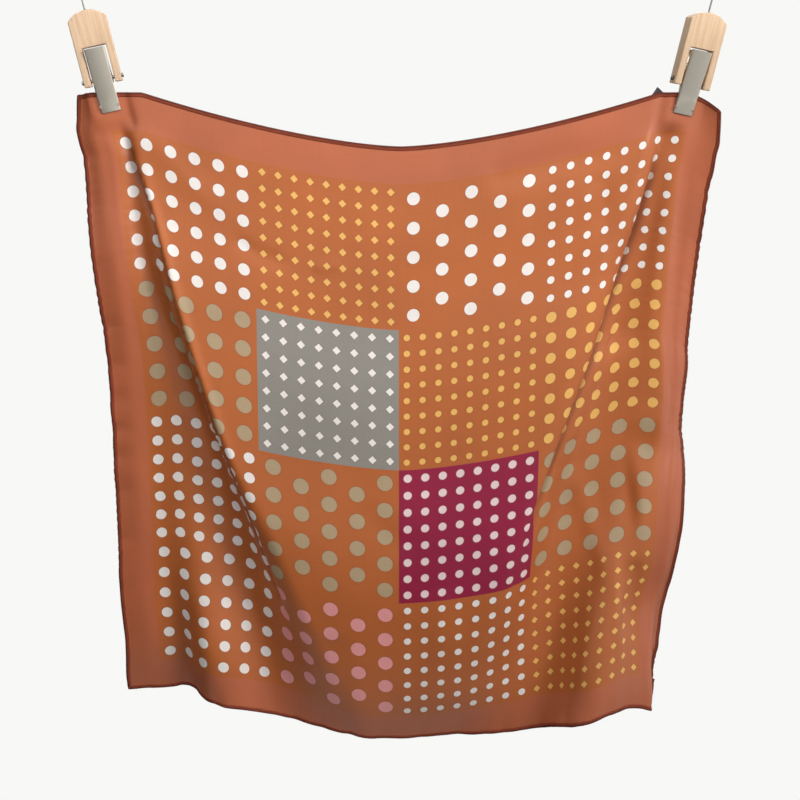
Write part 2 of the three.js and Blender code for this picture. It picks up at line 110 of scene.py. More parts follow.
# Creases on top of the folds: a path on the cloth, the rise along it and its half width. The
# first four are the sharp lines that run down from the clips. A path may start or end past the
# cloth's edge, where the crease does.
CREASES = (
    {"path": ((38, 14), (44, 56), (59, 104), (73, 160), (94, 228), (122, 309), (150, 390),
              (176, 476)), "rise": -3.4, "half": 3.4},
    {"path": ((46, 16), (52, 56), (67, 104), (82, 160), (104, 228), (132, 305), (160, 370)),
     "rise": 1.6, "half": 4.5},
    {"path": ((489, 24), (481, 64), (469, 112), (453, 160), (437, 204), (413, 256), (388, 318),
              (365, 396), (337, 453)), "rise": -2.8, "half": 3.4},
    {"path": ((495, 30), (489, 70), (478, 118), (463, 168), (447, 214), (424, 266), (400, 328)),
     "rise": 1.4, "half": 5.0},
    {"path": ((128, 96), (152, 104), (186, 108)), "rise": -0.9, "half": 7},
    {"path": ((196, 106), (212, 101), (226, 96)), "rise": 0.7, "half": 5},
    {"path": ((335, 34), (400, 30), (466, 42)), "rise": -1.3, "half": 13},
    {"path": ((432, 48), (438, 84), (445, 124)), "rise": -1.0, "half": 9},
    {"path": ((52, 26), (96, 62), (150, 84)), "rise": 0.9, "half": 12},
    {"path": ((478, 30), (440, 62), (392, 78)), "rise": 0.8, "half": 12},
    {"path": ((30, 30), (27, 96), (24, 150)), "rise": 0.8, "half": 6},
    {"path": ((497, 40), (494, 130), (490, 240)), "rise": 0.9, "half": 5},
    {"path": ((508, 38), (509, 120), (510, 190)), "rise": -0.8, "half": 5},
    {"path": ((60, 250), (80, 330), (92, 396)), "rise": 0.9, "half": 9},
    {"path": ((205, 420), (214, 470), (218, 518)), "rise": -1.1, "half": 12},
    {"path": ((300, 372), (308, 440), (304, 500)), "rise": 0.9, "half": 14},
    {"path": ((232, 300), (262, 330), (300, 336)), "rise": -0.7, "half": 12},
    {"path": ((425, 300), (450, 372), (470, 440)), "rise": 1.0, "half": 8},
    {"path": ((486, 396), (494, 440), (504, 500)), "rise": -1.4, "half": 6},
    {"path": ((476, 340), (530, 334), (590, 326)), "rise": 4.5, "half": 38},
    {"path": ((470, 434), (530, 428), (590, 420)), "rise": -6.5, "half": 36},
    {"path": ((494, 270), (484, 360), (470, 430), (456, 520)), "rise": -4.0, "half": 17},
    {"path": ((470, 190), (450, 280), (438, 340), (424, 400), (408, 470)), "rise": 4.0, "half": 22},
    {"path": ((534, 490), (540, 780)), "rise": 5.0, "half": 20},
    {"path": ((-40, 136), (10, 134), (60, 128)), "rise": 3.0, "half": 45},
)

# The shares of a crease's length over which it grows and fades
CREASE_START, CREASE_END = 0.12, 0.45

# Puckers that the hem's stitching draws into each side: place along it, depth and half width
PUCKER_REACH = 26.0
PUCKERS = {
    "top": ((92, 0.3, 7), (148, 0.25, 9), (214, 0.3, 8), (300, 0.25, 10), (352, 0.3, 7),
            (418, 0.3, 8), (446, 0.35, 6)),
    "bottom": ((64, 0.9, 7), (96, 1.3, 6), (131, 0.8, 8), (170, 1.2, 7), (196, 0.7, 5),
               (222, 1.2, 6), (250, 0.9, 8), (286, 0.6, 6), (321, 1.1, 8), (345, 0.8, 6),
               (362, 1.1, 7), (398, 0.8, 9), (428, 1.0, 6), (470, 0.9, 8), (492, 0.7, 5)),
    "left": ((48, 0.5, 7), (86, 0.6, 8), (140, 0.5, 9), (190, 0.9, 7), (224, 0.7, 6),
             (254, 0.9, 8), (281, 0.8, 6), (305, 0.9, 7), (336, 0.8, 8), (382, 0.6, 7),
             (430, 0.8, 9), (478, 0.7, 7)),
    "right": ((60, 0.3, 6), (112, 0.35, 5), (146, 0.5, 5), (158, 0.4, 4), (204, 0.4, 6),
              (248, 0.3, 6), (296, 0.4, 5), (330, 0.3, 6), (372, 0.4, 7), (421, 0.3, 6),
              (466, 0.4, 7), (498, 0.3, 6)),
}

# The least share of a thread's length that shows from the front, however steep it is
LEAST_RUN = 0.2

# The rolled hem, in millimetres: its cells along and around, how far it stands out past the
# cloth's edge, and the power that squares its section
HEM_STEPS, HEM_AROUND = 240, 14
HEM_OUTSIDE, HEM_SQUARENESS = 0.3, 0.8
# How far its four runs start from the corners, the waves of its thickness, each a share with a
# rate in radians a millimetre, and how far in from the edge the way in is read
HEM_START = {"top": 0.0, "bottom": 0.0, "left": 2.4, "right": 2.4}
HEM_WAVES = ({"share": 0.1, "rate": 0.83, "start": 0.0}, {"share": 0.08, "rate": 2.1, "start": 1.0})
HEM_WAY_IN = 5.0

# One stitch: its sides and steps, how far it wraps in degrees, and how much of the thread's
# radius stands clear of the hem
STITCH_SIDES, STITCH_STEPS, STITCH_WRAP, STITCH_CLEAR = 5, 6, 230.0, 0.4

# The clips: where the jaws' lower edge grips the cloth, and how each leans and turns, in degrees
CLIP_GRIP = {"left": (31.3, 14.6), "right": (499.3, 16.5)}
CLIP_LEAN = {"left": -12.0, "right": 12.0}
CLIP_TURN = 8.0
GRIP_HALF, GRIP_BELOW, GRIP_FADE_ACROSS, GRIP_FADE_BELOW = 12.5, 3.0, 8.0, 16.0

# Heights up the clip from the jaws' lower edge, and last the crown's rise above the shoulder
LEGS_AT, PIN_UP, JAW_TOP, SLOT_TOP, SHOULDER, CROWN_RISE = 21.6, 25.7, 50.0, 51.4, 72.8, 6.6

# The beech block: its crown's cuts, its rounded edges, the radius and depth of its holes, and how
# far below its legs the slot's cutter starts
CROWN_CUTS, BLOCK_ROUND = 23, 0.8
PIN_HOLE, HOOK_HOLE, HOOK_HOLE_DEPTH, BELOW_LEGS = 1.75, 0.9, 10.0, 4.0

# The jaws: the sheet, how far the plate stands off the cloth, how much narrower the back one is,
# and the fold into the flanges
SHEET, JAW_CLEAR, BACK_NARROWER, JAW_ROWS = 0.8, 0.85, 2.8, 50
FOLD_RADIUS, FOLD_STEPS, SHEET_ROUND = 0.7, 3, 0.12
# A flange's edge: how deep it is, its least depth at the jaw's foot, how near the cloth it comes,
# the heights where it starts and where it is past the cloth's top, and the round ear about the
# pin with the run back to the plate
FLANGE_DEPTH, FLANGE_STUB, FLANGE_FACE, FLANGE_FROM, CLOTH_TOP = 2.6, 0.05, 1.6, 3.6, 16.0
EAR_RADIUS, EAR_RUN = 3.4, 5.5

# The pivot pin: half its length, its radius, the length kept for its head, and the head's rings
# from the shank outwards, each by how much it grows across and goes out along
PIN_REACH, PIN_RADIUS, PIN_HEAD = 17.4, 1.45, 2.0
PIN_HEAD_RINGS = (
    {"grow": 0.35, "out": 0.0}, {"grow": 0.0, "out": 0.9}, {"grow": -0.3, "out": 0.35},
    {"grow": -0.6, "out": 0.2},
)

# The torsion spring: its coil, and its two arms, which end under the jaws
SPRING_WIRE, SPRING_RADIUS, SPRING_TURNS, SPRING_WIDTH, TURN_STEPS = 0.55, 2.9, 4.5, 6.4, 20
ARM_UP, ARM_CLEAR, ARM_ABOVE_PIN, ARM_STEPS = 42.0, 0.7, 2.0, 4

# The wire hook: the gap under its foot, where its stem stops below the eye, its bend, and the arc
# of its eye in degrees
FOOT_GAP, STEM_STOP, BEND_RISE = 0.3, 2.5, 1.6
STEM_STEPS, EYE_KNOTS, EYE_FROM, EYE_ARC = 6, 48, -65.0, 310.0

# The blank label: its middle on the cloth, its size, its turn in degrees and how far behind it is
LABEL_AT = (480.5, 7.0)
LABEL_WIDTH, LABEL_HEIGHT, LABEL_TURN, LABEL_BEHIND = 20.0, 14.0, 45.0, 1.6
# Its cells each way, its wall, the height of its curl, and how it leans back above the cloth
LABEL_CELLS = (24, 16)
LABEL_WALL, LABEL_ROUND, LABEL_CURL, LABEL_LEAN = 0.5, 0.12, 0.35, 0.03

# The print: four by four blocks of dots inside a plain border. Each block has its ground, its
# dots' colour, how many dots it has each way, their diameter in millimetres and their kind.
PLAIN_BORDER = 30.0
BLOCKS_EACH_WAY = 4
PRINTED = SQUARE - 2 * PLAIN_BORDER
RUST, ASH, WINE = "#bc6631", "#928e87", "#960f3e"
CREAM, HONEY, SAND, ROSE, BLUSH = "#f9f3f0", "#f2bd68", "#b7a080", "#f0a2a2", "#f6dede"
DOT, DIAMOND, OFFSET = "dot", "diamond", "offset"
PRINT = (
    ((RUST, CREAM, 6, 9.8, DOT), (RUST, HONEY, 9, 5.6, DIAMOND),
     (RUST, CREAM, 5, 10.4, OFFSET), (RUST, CREAM, 8, 6.2, DOT)),
    ((RUST, SAND, 5, 13.4, DOT), (ASH, CREAM, 8, 6.0, DIAMOND),
     (RUST, HONEY, 9, 5.4, DOT), (RUST, HONEY, 7, 8.8, DOT)),
    ((RUST, CREAM, 7, 9.2, DOT), (RUST, SAND, 5, 13.4, OFFSET),
     (WINE, BLUSH, 8, 7.0, DOT), (RUST, SAND, 5, 13.4, DOT)),
    ((RUST, CREAM, 6, 9.8, DOT), (RUST, ROSE, 5, 13.0, OFFSET),
     (RUST, CREAM, 8, 6.4, DOT), (RUST, HONEY, 9, 5.4, DIAMOND)),
)

# The most dots a block has each way and the widest dot: the print's ramps hold shares of them
MOST_DOTS, WIDEST_DOT = 10.0, 20.0

# The dots' soft edge, the darker rim that ink leaves round them, and a dot's radius as a share of
# a diamond's half diagonal
DOT_EDGE, RIM_WIDTH, RIM_DEPTH, RIM_COLOUR = 0.22, 0.9, 0.42, "#61301a"
DIAMOND_SHARE = 0.86

# The silk's uneven colour: the size of its mottle and the width and length of the slubs in its
# threads, in millimetres, how much the slubs count, and the range of tones that comes of it
MOTTLE, SLUB_WIDTH, SLUB_LENGTH, SLUB_WEIGHT = 76.29, 0.8, 30.0, 0.35
UNEVEN_LOW, UNEVEN_HIGH, TONE_LOW, TONE_HIGH = 0.6, 1.1, 0.91, 1.09
REVERSE_FADE, REVERSE_HAZE = 0.3, "#dba488"

# Painted shade in the folds: how far, in millimetres, cloth counts as hiding cloth in a fold, the
# openness at which the painted shade is deepest and where there is none, and the tint of the deepest
# painted shade
FOLD_HIDES, FOLD_SHUT, FOLD_OPEN, FOLD_SHADE_TINT = 16.0, 0.5, 0.96, "#957e70"

# The weave's height: broad twill bands, how much they count, and the grain between them. Blender's
# diagonal wave turns ten radians in each unit of its scaled place.
TWILL_BAND, TWILL_WEIGHT, WEAVE_GRAIN = 14.475, 0.35, 3.814
WAVE_RADIANS = 10.0

# The studio, in metres, watts and degrees: the floor, and each lamp by its name, place, size,
# power, spread and colour
FLOOR_RADIUS, FLOOR_LEVEL = 0.95, -1.4
LAMPS_AIM = (-0.02, 0, -0.16)
LAMPS = (
    ("key_softbox", (1.2, -0.9, 0.5), 0.8, 2.9, 55, "#fffaf3"),
    ("top_softbox", (-0.3, -0.65, 0.45), 0.5, 4.0, 180, "#ffffff"),
    ("fill_softbox", (-1.6, -1.8, 0.2), 1.6, 1.2, 180, "#ffebe0"),
    ("rim_softbox", (0.6, 1.6, 0.6), 1.4, 12.0, 180, "#ffffff"),
)

# The room's window: the way to it. For diffuse and for glossy light, the light changes between
# two closenesses to that way, from a dim strength to a bright one.
WINDOW_WAY = (0.42, -0.1, 0.9)
WINDOW_LIGHT = {
    "diffuse": {"away": -0.5, "toward": 0.8, "dim": 0.04, "bright": 0.36},
    "glossy": {"away": -0.4, "toward": 0.35, "dim": 0.02, "bright": 1.3},
}

# The camera, in millimetres and degrees: its place, how far it looks down, its lens, its sensor's
# width and the nearest that it sees
CAMERA_AT, CAMERA_DOWN = (2.3, -1091.0, -75.0), 14.5
CAMERA_LENS, CAMERA_SENSOR, CAMERA_NEAREST = 60.0, 36.0, 50.0


def linear(code):
    """An sRGB hex colour as the linear values that a shader takes."""
    parts = [int(code[k:k + 2], 16) / 255 for k in (1, 3, 5)]
    return tuple(p / 12.92 if p <= 0.04045 else ((p + 0.055) / 1.055) ** 2.4 for p in parts) + (1.0,)


class ScarfCloth(bpy.types.PropertyGroup):
    threads: IntProperty(
        name="Threads", description="Cells of the cloth's net each way",
        default=208, min=40, max=220)
    wall: FloatProperty(
        name="Wall", description="Thickness of the silk", default=0.35 * MM, unit="LENGTH")
    hem_width: FloatProperty(
        name="Hem width", description="Width of the rolled hem", default=3.8 * MM, unit="LENGTH")
    hem_wall: FloatProperty(
        name="Hem thickness", description="Thickness of the rolled hem", default=1.4 * MM, unit="LENGTH")
    stitch_pitch: FloatProperty(
        name="Stitch pitch", description="From one edge stitch to the next", default=1.3 * MM,
        unit="LENGTH")
    stitch_reach: FloatProperty(
        name="Stitch reach", description="How far a stitch reaches in from the edge",
        default=1.3 * MM, unit="LENGTH")
    thread: FloatProperty(
        name="Thread", description="Radius of the edge's thread", default=0.3 * MM, unit="LENGTH")
    border: FloatVectorProperty(
        name="Border", description="Colour of the plain border", subtype="COLOR",
        default=linear("#bd6743")[:3])


class ClipHanger(bpy.types.PropertyGroup):
    block_width: FloatProperty(
        name="Block width", description="Width of the beech block", default=30 * MM, unit="LENGTH")
    block_depth: FloatProperty(
        name="Block depth", description="Depth of the beech block", default=14 * MM, unit="LENGTH")
    slot_width: FloatProperty(
        name="Slot width", description="Width of the slot for the jaws", default=19 * MM, unit="LENGTH")
    jaw_width: FloatProperty(
        name="Jaw width", description="Width of the front jaw", default=16 * MM, unit="LENGTH")
    jaw_slope: FloatProperty(
        name="Jaw slope", description="How far the jaws lean apart above the pin",
        default=math.radians(10), subtype="ANGLE")
    wire_radius: FloatProperty(
        name="Wire radius", description="Radius of the hook's wire", default=0.7 * MM, unit="LENGTH")
    eye_radius: FloatProperty(
        name="Eye radius", description="Inner radius of the hook's eye", default=5 * MM, unit="LENGTH")


# How the silk hangs

def ease(value):
    """A smooth step from 0 to 1."""
    v = np.clip(value, 0.0, 1.0)
    return v * v * (3.0 - 2.0 * v)


def along_sections(column, key, down):
    """A smooth curve through one column of the sections, read at places down the cloth."""
    place = np.array([section["down"] for section in SECTIONS], float)
    value = np.array([section[key][column] for section in SECTIONS], float)
    before = np.maximum(np.arange(len(place)) - 1, 0)
    after = np.minimum(np.arange(len(place)) + 1, len(place) - 1)
    slope = (value[after] - value[before]) / (place[after] - place[before])
    i = np.clip(np.searchsorted(place, down, side="right") - 1, 0, len(place) - 2)
    run = place[i + 1] - place[i]
    u = (down - place[i]) / run
    return ((2 * u**3 - 3 * u**2 + 1) * value[i] + (u**3 - 2 * u**2 + u) * run * slope[i]
            + (3 * u**2 - 2 * u**3) * value[i + 1] + (u**3 - u**2) * run * slope[i + 1])


def folds(places):
    """The large folds' rise on a square grid of places, rows running down the cloth."""
    columns = range(len(FOLD_LINES))
    across = np.array([along_sections(c, "across", places) for c in columns])
    rise = np.array([along_sections(c, "rise", places) for c in columns])
    field = np.zeros((len(places), len(places)))
    for j in range(len(places)):
        line, height = across[:, j], rise[:, j]
        k = np.clip(np.searchsorted(line, places, side="right") - 1, 0, len(line) - 2)
        u = ease((places - line[k]) / (line[k + 1] - line[k]))
        field[j] = height[k] + (height[k + 1] - height[k]) * u
    return field


def crease(across, down, path, rise, half):
    """A soft ridge or trough along a path that fades out at its two ends."""
    legs = list(zip(path, path[1:]))
    lengths = [math.dist(a, b) for a, b in legs]
    whole = sum(lengths)
    nearest = np.full(across.shape, np.inf)
    share = np.zeros(across.shape)
    run = 0.0
    for (a, b), length in zip(legs, lengths):
        along = ((across - a[0]) * (b[0] - a[0]) + (down - a[1]) * (b[1] - a[1])) / length**2
        along = np.clip(along, 0.0, 1.0)
        off = np.hypot(across - a[0] - along * (b[0] - a[0]), down - a[1] - along * (b[1] - a[1]))
        closer = off < nearest
        nearest = np.where(closer, off, nearest)
        share = np.where(closer, (run + along * length) / whole, share)
        run += length
    ends = ease(share / CREASE_START) * ease((1.0 - share) / CREASE_END)
    return rise * ends * np.exp(-((nearest / half) ** 2))


def puckers(across, down):
    """Short uneven ripples that start at the hem's stitching and fade into the cloth."""
    from_side = {
        "top": (across, down), "bottom": (across, SQUARE - down),
        "left": (down, across), "right": (down, SQUARE - across),
    }
    field = np.zeros(across.shape)
    for side, list_of_puckers in PUCKERS.items():
        along, away = from_side[side]
        fade = ease(1.0 - away / PUCKER_REACH)
        for place, depth, half in list_of_puckers:
            field -= depth * fade * np.exp(-(((along - place) / half) ** 2))
    return field


def grip(field, across, down):
    """Between the jaws the cloth is flat and turned with the clip."""
    for side in SIDES:
        at, level = CLIP_GRIP[side]
        lean = math.radians(CLIP_LEAN[side])
        sideways = (across - at) * math.cos(lean) + (down - level) * math.sin(lean)
        hold = (ease(1.0 - (np.abs(sideways) - GRIP_HALF) / GRIP_FADE_ACROSS)
                * ease(1.0 - (down - level - GRIP_BELOW) / GRIP_FADE_BELOW))
        field = field * (1.0 - hold) - math.sin(math.radians(CLIP_TURN)) * sideways * hold
    return field


def top_edge_height(place):
    """How high the top edge hangs at places along it, in millimetres from the origin's level."""
    a = np.clip((place - SAG_FROM) / (SAG_TO - SAG_FROM), 0.0, 1.0)
    sag = TOP_SAG * (1.0 - np.abs(2.0 * a - 1.0) ** SAG_POWER)
    right = RIGHT_CORNER_DROP * ease((place - RIGHT_CORNER_FROM) / RIGHT_CORNER_RUN)
    curl = np.clip((place - RIGHT_CURL_FROM) / (SQUARE - RIGHT_CURL_FROM), 0.0, 1.0)
    right += RIGHT_CURL_DROP * curl**2
    left = LEFT_CORNER_DROP * ease((LEFT_CORNER_RUN - place) / LEFT_CORNER_RUN)
    return -EDGE_DROP - sag - right - left


def flat_run(length, depth_change):
    """What is left of a thread's length, seen from the front, after its change of depth."""
    return math.sqrt(max(length**2 - depth_change**2, (LEAST_RUN * length) ** 2))


def next_knot(above, beside, y, cell, step):
    """The point one warp cell below `above` and one weft cell beside `beside`: of the two places
    where circles of those runs cross, the one further down and out."""
    warp = flat_run(cell, y - above[1])
    weft = flat_run(cell, y - beside[1])
    dx, dz = beside[0] - above[0], beside[2] - above[2]
    apart = math.hypot(dx, dz)
    along = min(max((warp**2 - weft**2 + apart**2) / (2.0 * apart), -warp), warp) / apart
    off = math.sqrt(max(warp**2 - (along * apart) ** 2, 0.0)) / apart
    x, z = above[0] + dx * along, above[2] + dz * along
    one = (x - dz * off, y, z + dx * off)
    two = (x + dz * off, y, z - dx * off)
    return one if step * one[0] - one[2] > step * two[0] - two[2] else two


def hang_net(threads):
    """The cloth's middle surface as rows of knots, in millimetres."""
    places = np.linspace(0.0, SQUARE, threads + 1)
    across, down = np.meshgrid(places, places)
    rise = folds(places) + puckers(across, down)
    for one in CREASES:
        rise += crease(across, down, **one)
    depth = -grip(rise, across, down)
    cell = SQUARE / threads
    height = top_edge_height(places)
    first = [(0.0, depth[0, 0], height[0])]
    for i in range(1, threads + 1):
        run = flat_run(flat_run(cell, depth[0, i] - first[-1][1]), height[i] - first[-1][2])
        first.append((first[-1][0] + run, depth[0, i], height[i]))
    rows = [first]
    plumb = round(PLUMB_THREAD / cell)
    for j in range(1, threads + 1):
        above = rows[-1]
        row = [None] * (threads + 1)
        over = above[plumb]
        y = depth[j, plumb]
        row[plumb] = (over[0], y, over[2] - flat_run(cell, y - over[1]))
        for step, end in ((1, threads + 1), (-1, -1)):
            for i in range(plumb + step, end, step):
                row[i] = next_knot(above[i], row[i - step], depth[j, i], cell, step)
        rows.append(row)
    return np.array(rows, float)


class HungCloth:
    """The hung surface and the two clips' places on it, kept in millimetres."""

    def __init__(self, threads):
        self.threads = threads
        self.net = hang_net(threads)
        self.feet = {}
        bearing = []
        for side in SIDES:
            foot = self.knot(*CLIP_GRIP[side])
            lean = math.radians(CLIP_LEAN[side])
            bearing.append(foot[0] - foot[2] * math.tan(lean))
            self.feet[side] = [foot[0], 0.0, foot[2]]
        shift = -sum(bearing) / 2.0
        self.net[:, :, 0] += shift
        for side in SIDES:
            self.feet[side][0] += shift

    def knot(self, across, down):
        """A place on the surface, between the four knots about it."""
        a = min(max(across / SQUARE, 0.0), 1.0) * self.threads
        b = min(max(down / SQUARE, 0.0), 1.0) * self.threads
        i, j = min(int(a), self.threads - 1), min(int(b), self.threads - 1)
        u, v = a - i, b - j
        upper = self.net[j, i] * (1 - u) + self.net[j, i + 1] * u
        lower = self.net[j + 1, i] * (1 - u) + self.net[j + 1, i + 1] * u
        return upper * (1 - v) + lower * v

    def point(self, across, down):
        """A place on the surface, in metres."""
        return Vector(self.knot(across, down)) * MM

    def normal(self, across, down, reach=2.6):
        """The way out of the cloth's face, from the points a short reach about a place."""
        weft = self.knot(across + reach, down) - self.knot(across - reach, down)
        warp = self.knot(across, down - reach) - self.knot(across, down + reach)
        return Vector(np.cross(weft, warp)).normalized()

    def clip_place(self, side):
        """From a clip's own axes, up from the jaws' lower edge, to the frame."""
        turn = Matrix.Rotation(math.radians(CLIP_TURN), 4, "Z")
        lean = Matrix.Rotation(math.radians(CLIP_LEAN[side]), 4, "Y")
        return Matrix.Translation(Vector(self.feet[side]) * MM) @ lean @ turn

    def hook_reach(self, side):
        """From the jaws' lower edge up the clip's axis to the level of the origin."""
        return -self.feet[side][2] * MM / math.cos(math.radians(CLIP_LEAN[side]))


HUNG = {}


def hung_cloth(context):
    """The hung surface, worked out once for each number of threads."""
    threads = context.scene.scarf_cloth.threads
    if threads not in HUNG:
        HUNG[threads] = HungCloth(threads)
    return HUNG[threads]


# Small helpers

def add_node(tree, kind, inputs=(), **settings):
    """A node with its settings and its inputs, each a value or another node's output."""
    node = tree.nodes.new(kind)
    for name, value in settings.items():
        setattr(node, name, value)
    pairs = inputs.items() if isinstance(inputs, dict) else enumerate(inputs)
    for key, value in pairs:
        if value is None:
            continue
        if isinstance(value, bpy.types.NodeSocket):
            tree.links.new(value, node.inputs[key])
        else:
            node.inputs[key].default_value = value
    return node


def new_material(name):
    material = bpy.data.materials.new(name)
    material.use_nodes = True
    material.node_tree.nodes.clear()
    return material, material.node_tree


def finish_material(tree, shader, height=None, strength=0.0, distance=0.0):
    """Ends a material with its output, after its relief where it has one."""
    if height is not None:
        bump = add_node(tree, "ShaderNodeBump", {
            "Strength": strength, "Distance": distance, "Height": height})
        tree.links.new(bump.outputs[0], shader.inputs["Normal"])
    add_node(tree, "ShaderNodeOutputMaterial", {"Surface": shader.outputs[0]})


def clear_selection():
    if bpy.context.object and bpy.context.object.mode != "OBJECT":
        bpy.ops.object.mode_set(mode="OBJECT")
    bpy.ops.object.select_all(action="DESELECT")


def select_only(*pieces):
    clear_selection()
    for piece in pieces:
        piece.select_set(True)
    bpy.context.view_layer.objects.active = pieces[0]


def named(piece, name):
    piece.name = name
    piece.data.name = name
    return piece


def apply_modifier(piece, kind, **settings):
    select_only(piece)
    modifier = piece.modifiers.new(kind.title(), kind)
    for key, value in settings.items():
        setattr(modifier, key, value)
    bpy.ops.object.modifier_apply(modifier=modifier.name)


def cut_away(piece, cutter):
    """Cuts a cutter's shape out of a piece, and removes the cutter."""
    apply_modifier(piece, "BOOLEAN", operation="DIFFERENCE", solver="EXACT", object=cutter)
    bpy.data.objects.remove(cutter, do_unlink=True)


@contextmanager
def edited(piece):
    """Opens a piece in edit mode and writes what was done to its mesh back at the end."""
    select_only(piece)
    bpy.ops.object.mode_set(mode="EDIT")
    yield bmesh.from_edit_mesh(piece.data)
    bmesh.update_edit_mesh(piece.data)
    bpy.ops.object.mode_set(mode="OBJECT")


def unit_tube(context, sides, steps):
    """A closed tube one unit long and one in radius, with even steps along it."""
    clear_selection()
    bpy.ops.mesh.primitive_cylinder_add(
        vertices=sides, radius=1.0, depth=1.0, end_fill_type="NGON")
    tube = context.object
    with edited(tube) as mesh:
        upright = [e for e in mesh.edges if abs(e.verts[0].co.z - e.verts[1].co.z) > 0.5]
        bmesh.ops.subdivide_edges(mesh, edges=upright, cuts=steps - 1, use_grid_fill=True)
    return tube


def smooth(piece, angle=35):
    select_only(piece)
    bpy.ops.object.shade_smooth_by_angle(angle=math.radians(angle))


def dress(piece, *materials):
    piece.data.materials.clear()
    for material in materials:
        piece.data.materials.append(material)


def declare(piece, slot, *nodes):
    """Says what a piece rides on and which CAD nodes it stands for; its slot is not used."""
    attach(piece, "root")
    if nodes:
        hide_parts(*nodes)


def recalculate_normals(piece):
    """Merges doubles, then turns every face outwards."""
    select_only(piece)
    bpy.ops.object.mode_set(mode="EDIT")
    bpy.ops.mesh.select_all(action="SELECT")
    bpy.ops.mesh.remove_doubles(threshold=0.01 * MM)
    bpy.ops.mesh.normals_make_consistent(inside=False)
    bpy.ops.object.mode_set(mode="OBJECT")


# Materials

# Sums on the print, in order: each row has its name, the operation, and what it takes, which are
# numbers or the names of rows above. The places u and v on the cut cloth run from 0 to 1.
BLOCK_SUMS = (
    ("across", "MULTIPLY_ADD", "u", SQUARE / PRINTED, -PLAIN_BORDER / PRINTED),
    ("down", "MULTIPLY_ADD", "v", -SQUARE / PRINTED, (SQUARE - PLAIN_BORDER) / PRINTED),
    ("block across", "MULTIPLY", "across", BLOCKS_EACH_WAY),
    ("block down", "MULTIPLY", "down", BLOCKS_EACH_WAY),
    ("column", "FLOOR", "block across"),
    ("row", "FLOOR", "block down"),
    ("block", "MULTIPLY_ADD", "row", BLOCKS_EACH_WAY, "column"),
    ("middle of block", "ADD", "block", 0.5),
    ("place on ramp", "DIVIDE", "middle of block", BLOCKS_EACH_WAY**2),
)
DOT_SUMS = (
    # The block's dots each way, their radius and their pitch
    ("dots read", "MULTIPLY", "dots share", MOST_DOTS),
    ("dots", "ROUND", "dots read"),
    ("radius", "MULTIPLY", "width share", WIDEST_DOT / 2),
    ("pitch", "DIVIDE", PRINTED / BLOCKS_EACH_WAY, "dots"),
    # The place counted in dots; in an offset block each second column is half a pitch higher
    ("in block across", "FRACT", "block across"),
    ("dot across", "MULTIPLY", "in block across", "dots"),
    ("dot column", "FLOOR", "dot across"),
    ("second column", "MODULO", "dot column", 2.0),
    ("shifted", "MULTIPLY", "second column", "offset"),
    ("in block down", "FRACT", "block down"),
    ("dot level", "MULTIPLY", "in block down", "dots"),
    ("dot down", "MULTIPLY_ADD", "shifted", 0.5, "dot level"),
    # A dot of such a column that the block's edge would cut is left out
    ("at top", "LESS_THAN", "dot down", 1.0),
    ("at bottom", "GREATER_THAN", "dot down", "dots"),
    ("at edge", "MAXIMUM", "at top", "at bottom"),
    ("left out", "MULTIPLY", "shifted", "at edge"),
    ("whole", "SUBTRACT", 1.0, "left out"),
    # How far, in millimetres, the place lies past its dot's edge, or its diamond's
    ("dot turn across", "FRACT", "dot across"),
    ("off across", "SUBTRACT", "dot turn across", 0.5),
    ("dx", "MULTIPLY", "off across", "pitch"),
    ("dot turn down", "FRACT", "dot down"),
    ("off down", "SUBTRACT", "dot turn down", 0.5),
    ("dy", "MULTIPLY", "off down", "pitch"),
    ("dy squared", "MULTIPLY", "dy", "dy"),
    ("squares", "MULTIPLY_ADD", "dx", "dx", "dy squared"),
    ("round distance", "SQRT", "squares"),
    ("dx size", "ABSOLUTE", "dx"),
    ("dy size", "ABSOLUTE", "dy"),
    ("sizes", "ADD", "dx size", "dy size"),
    ("slant more", "MULTIPLY", "sizes", DIAMOND_SHARE),
    ("difference", "SUBTRACT", "slant more", "round distance"),
    ("distance", "MULTIPLY_ADD", "difference", "diamond", "round distance"),
    ("past edge", "SUBTRACT", "distance", "radius"),
)
INK_SUMS = (
    ("dot", "MULTIPLY", "inside", "whole"),
    ("rim", "MULTIPLY", "near", "whole"),
    ("past left", "GREATER_THAN", "across", 0.0),
    ("before right", "LESS_THAN", "across", 1.0),
    ("past top", "GREATER_THAN", "down", 0.0),
    ("before bottom", "LESS_THAN", "down", 1.0),
    ("in width", "MULTIPLY", "past left", "before right"),
    ("in height", "MULTIPLY", "past top", "before bottom"),
    ("in print", "MULTIPLY", "in width", "in height"),
)


def add_sums(tree, sums, known):
    """Works through a table of sums, and keeps each result in `known` under its row's name."""
    for name, operation, *values in sums:
        taken = [known[value] if isinstance(value, str) else value for value in values]
        known[name] = add_node(tree, "ShaderNodeMath", taken, operation=operation).outputs[0]


def block_ramp(tree, fac, colours):
    """One constant step for each block of the print, row by row from the top left."""
    node = add_node(tree, "ShaderNodeValToRGB", {"Fac": fac})
    ramp = node.color_ramp
    ramp.interpolation = "CONSTANT"
    count = len(colours)
    ramp.elements[0].position = 0.0
    ramp.elements[0].color = colours[0]
    ramp.elements[1].position = 1.0 / count
    ramp.elements[1].color = colours[1]
    for k in range(2, count):
        ramp.elements.new(k / count).color = colours[k]
    return node.outputs["Color"]


def stretched_noise(tree, place, sizes, **settings):
    """Noise whose grains have the given sizes along the three axes of `place`."""
    scaled = add_node(tree, "ShaderNodeMapping", {
        "Vector": place, "Scale": [1 / size for size in sizes]}).outputs[0]
    inputs = {"Vector": scaled, "Scale": 1.0, "Detail": 2.0}
    inputs.update(settings)
    return add_node(tree, "ShaderNodeTexNoise", inputs).outputs["Fac"]


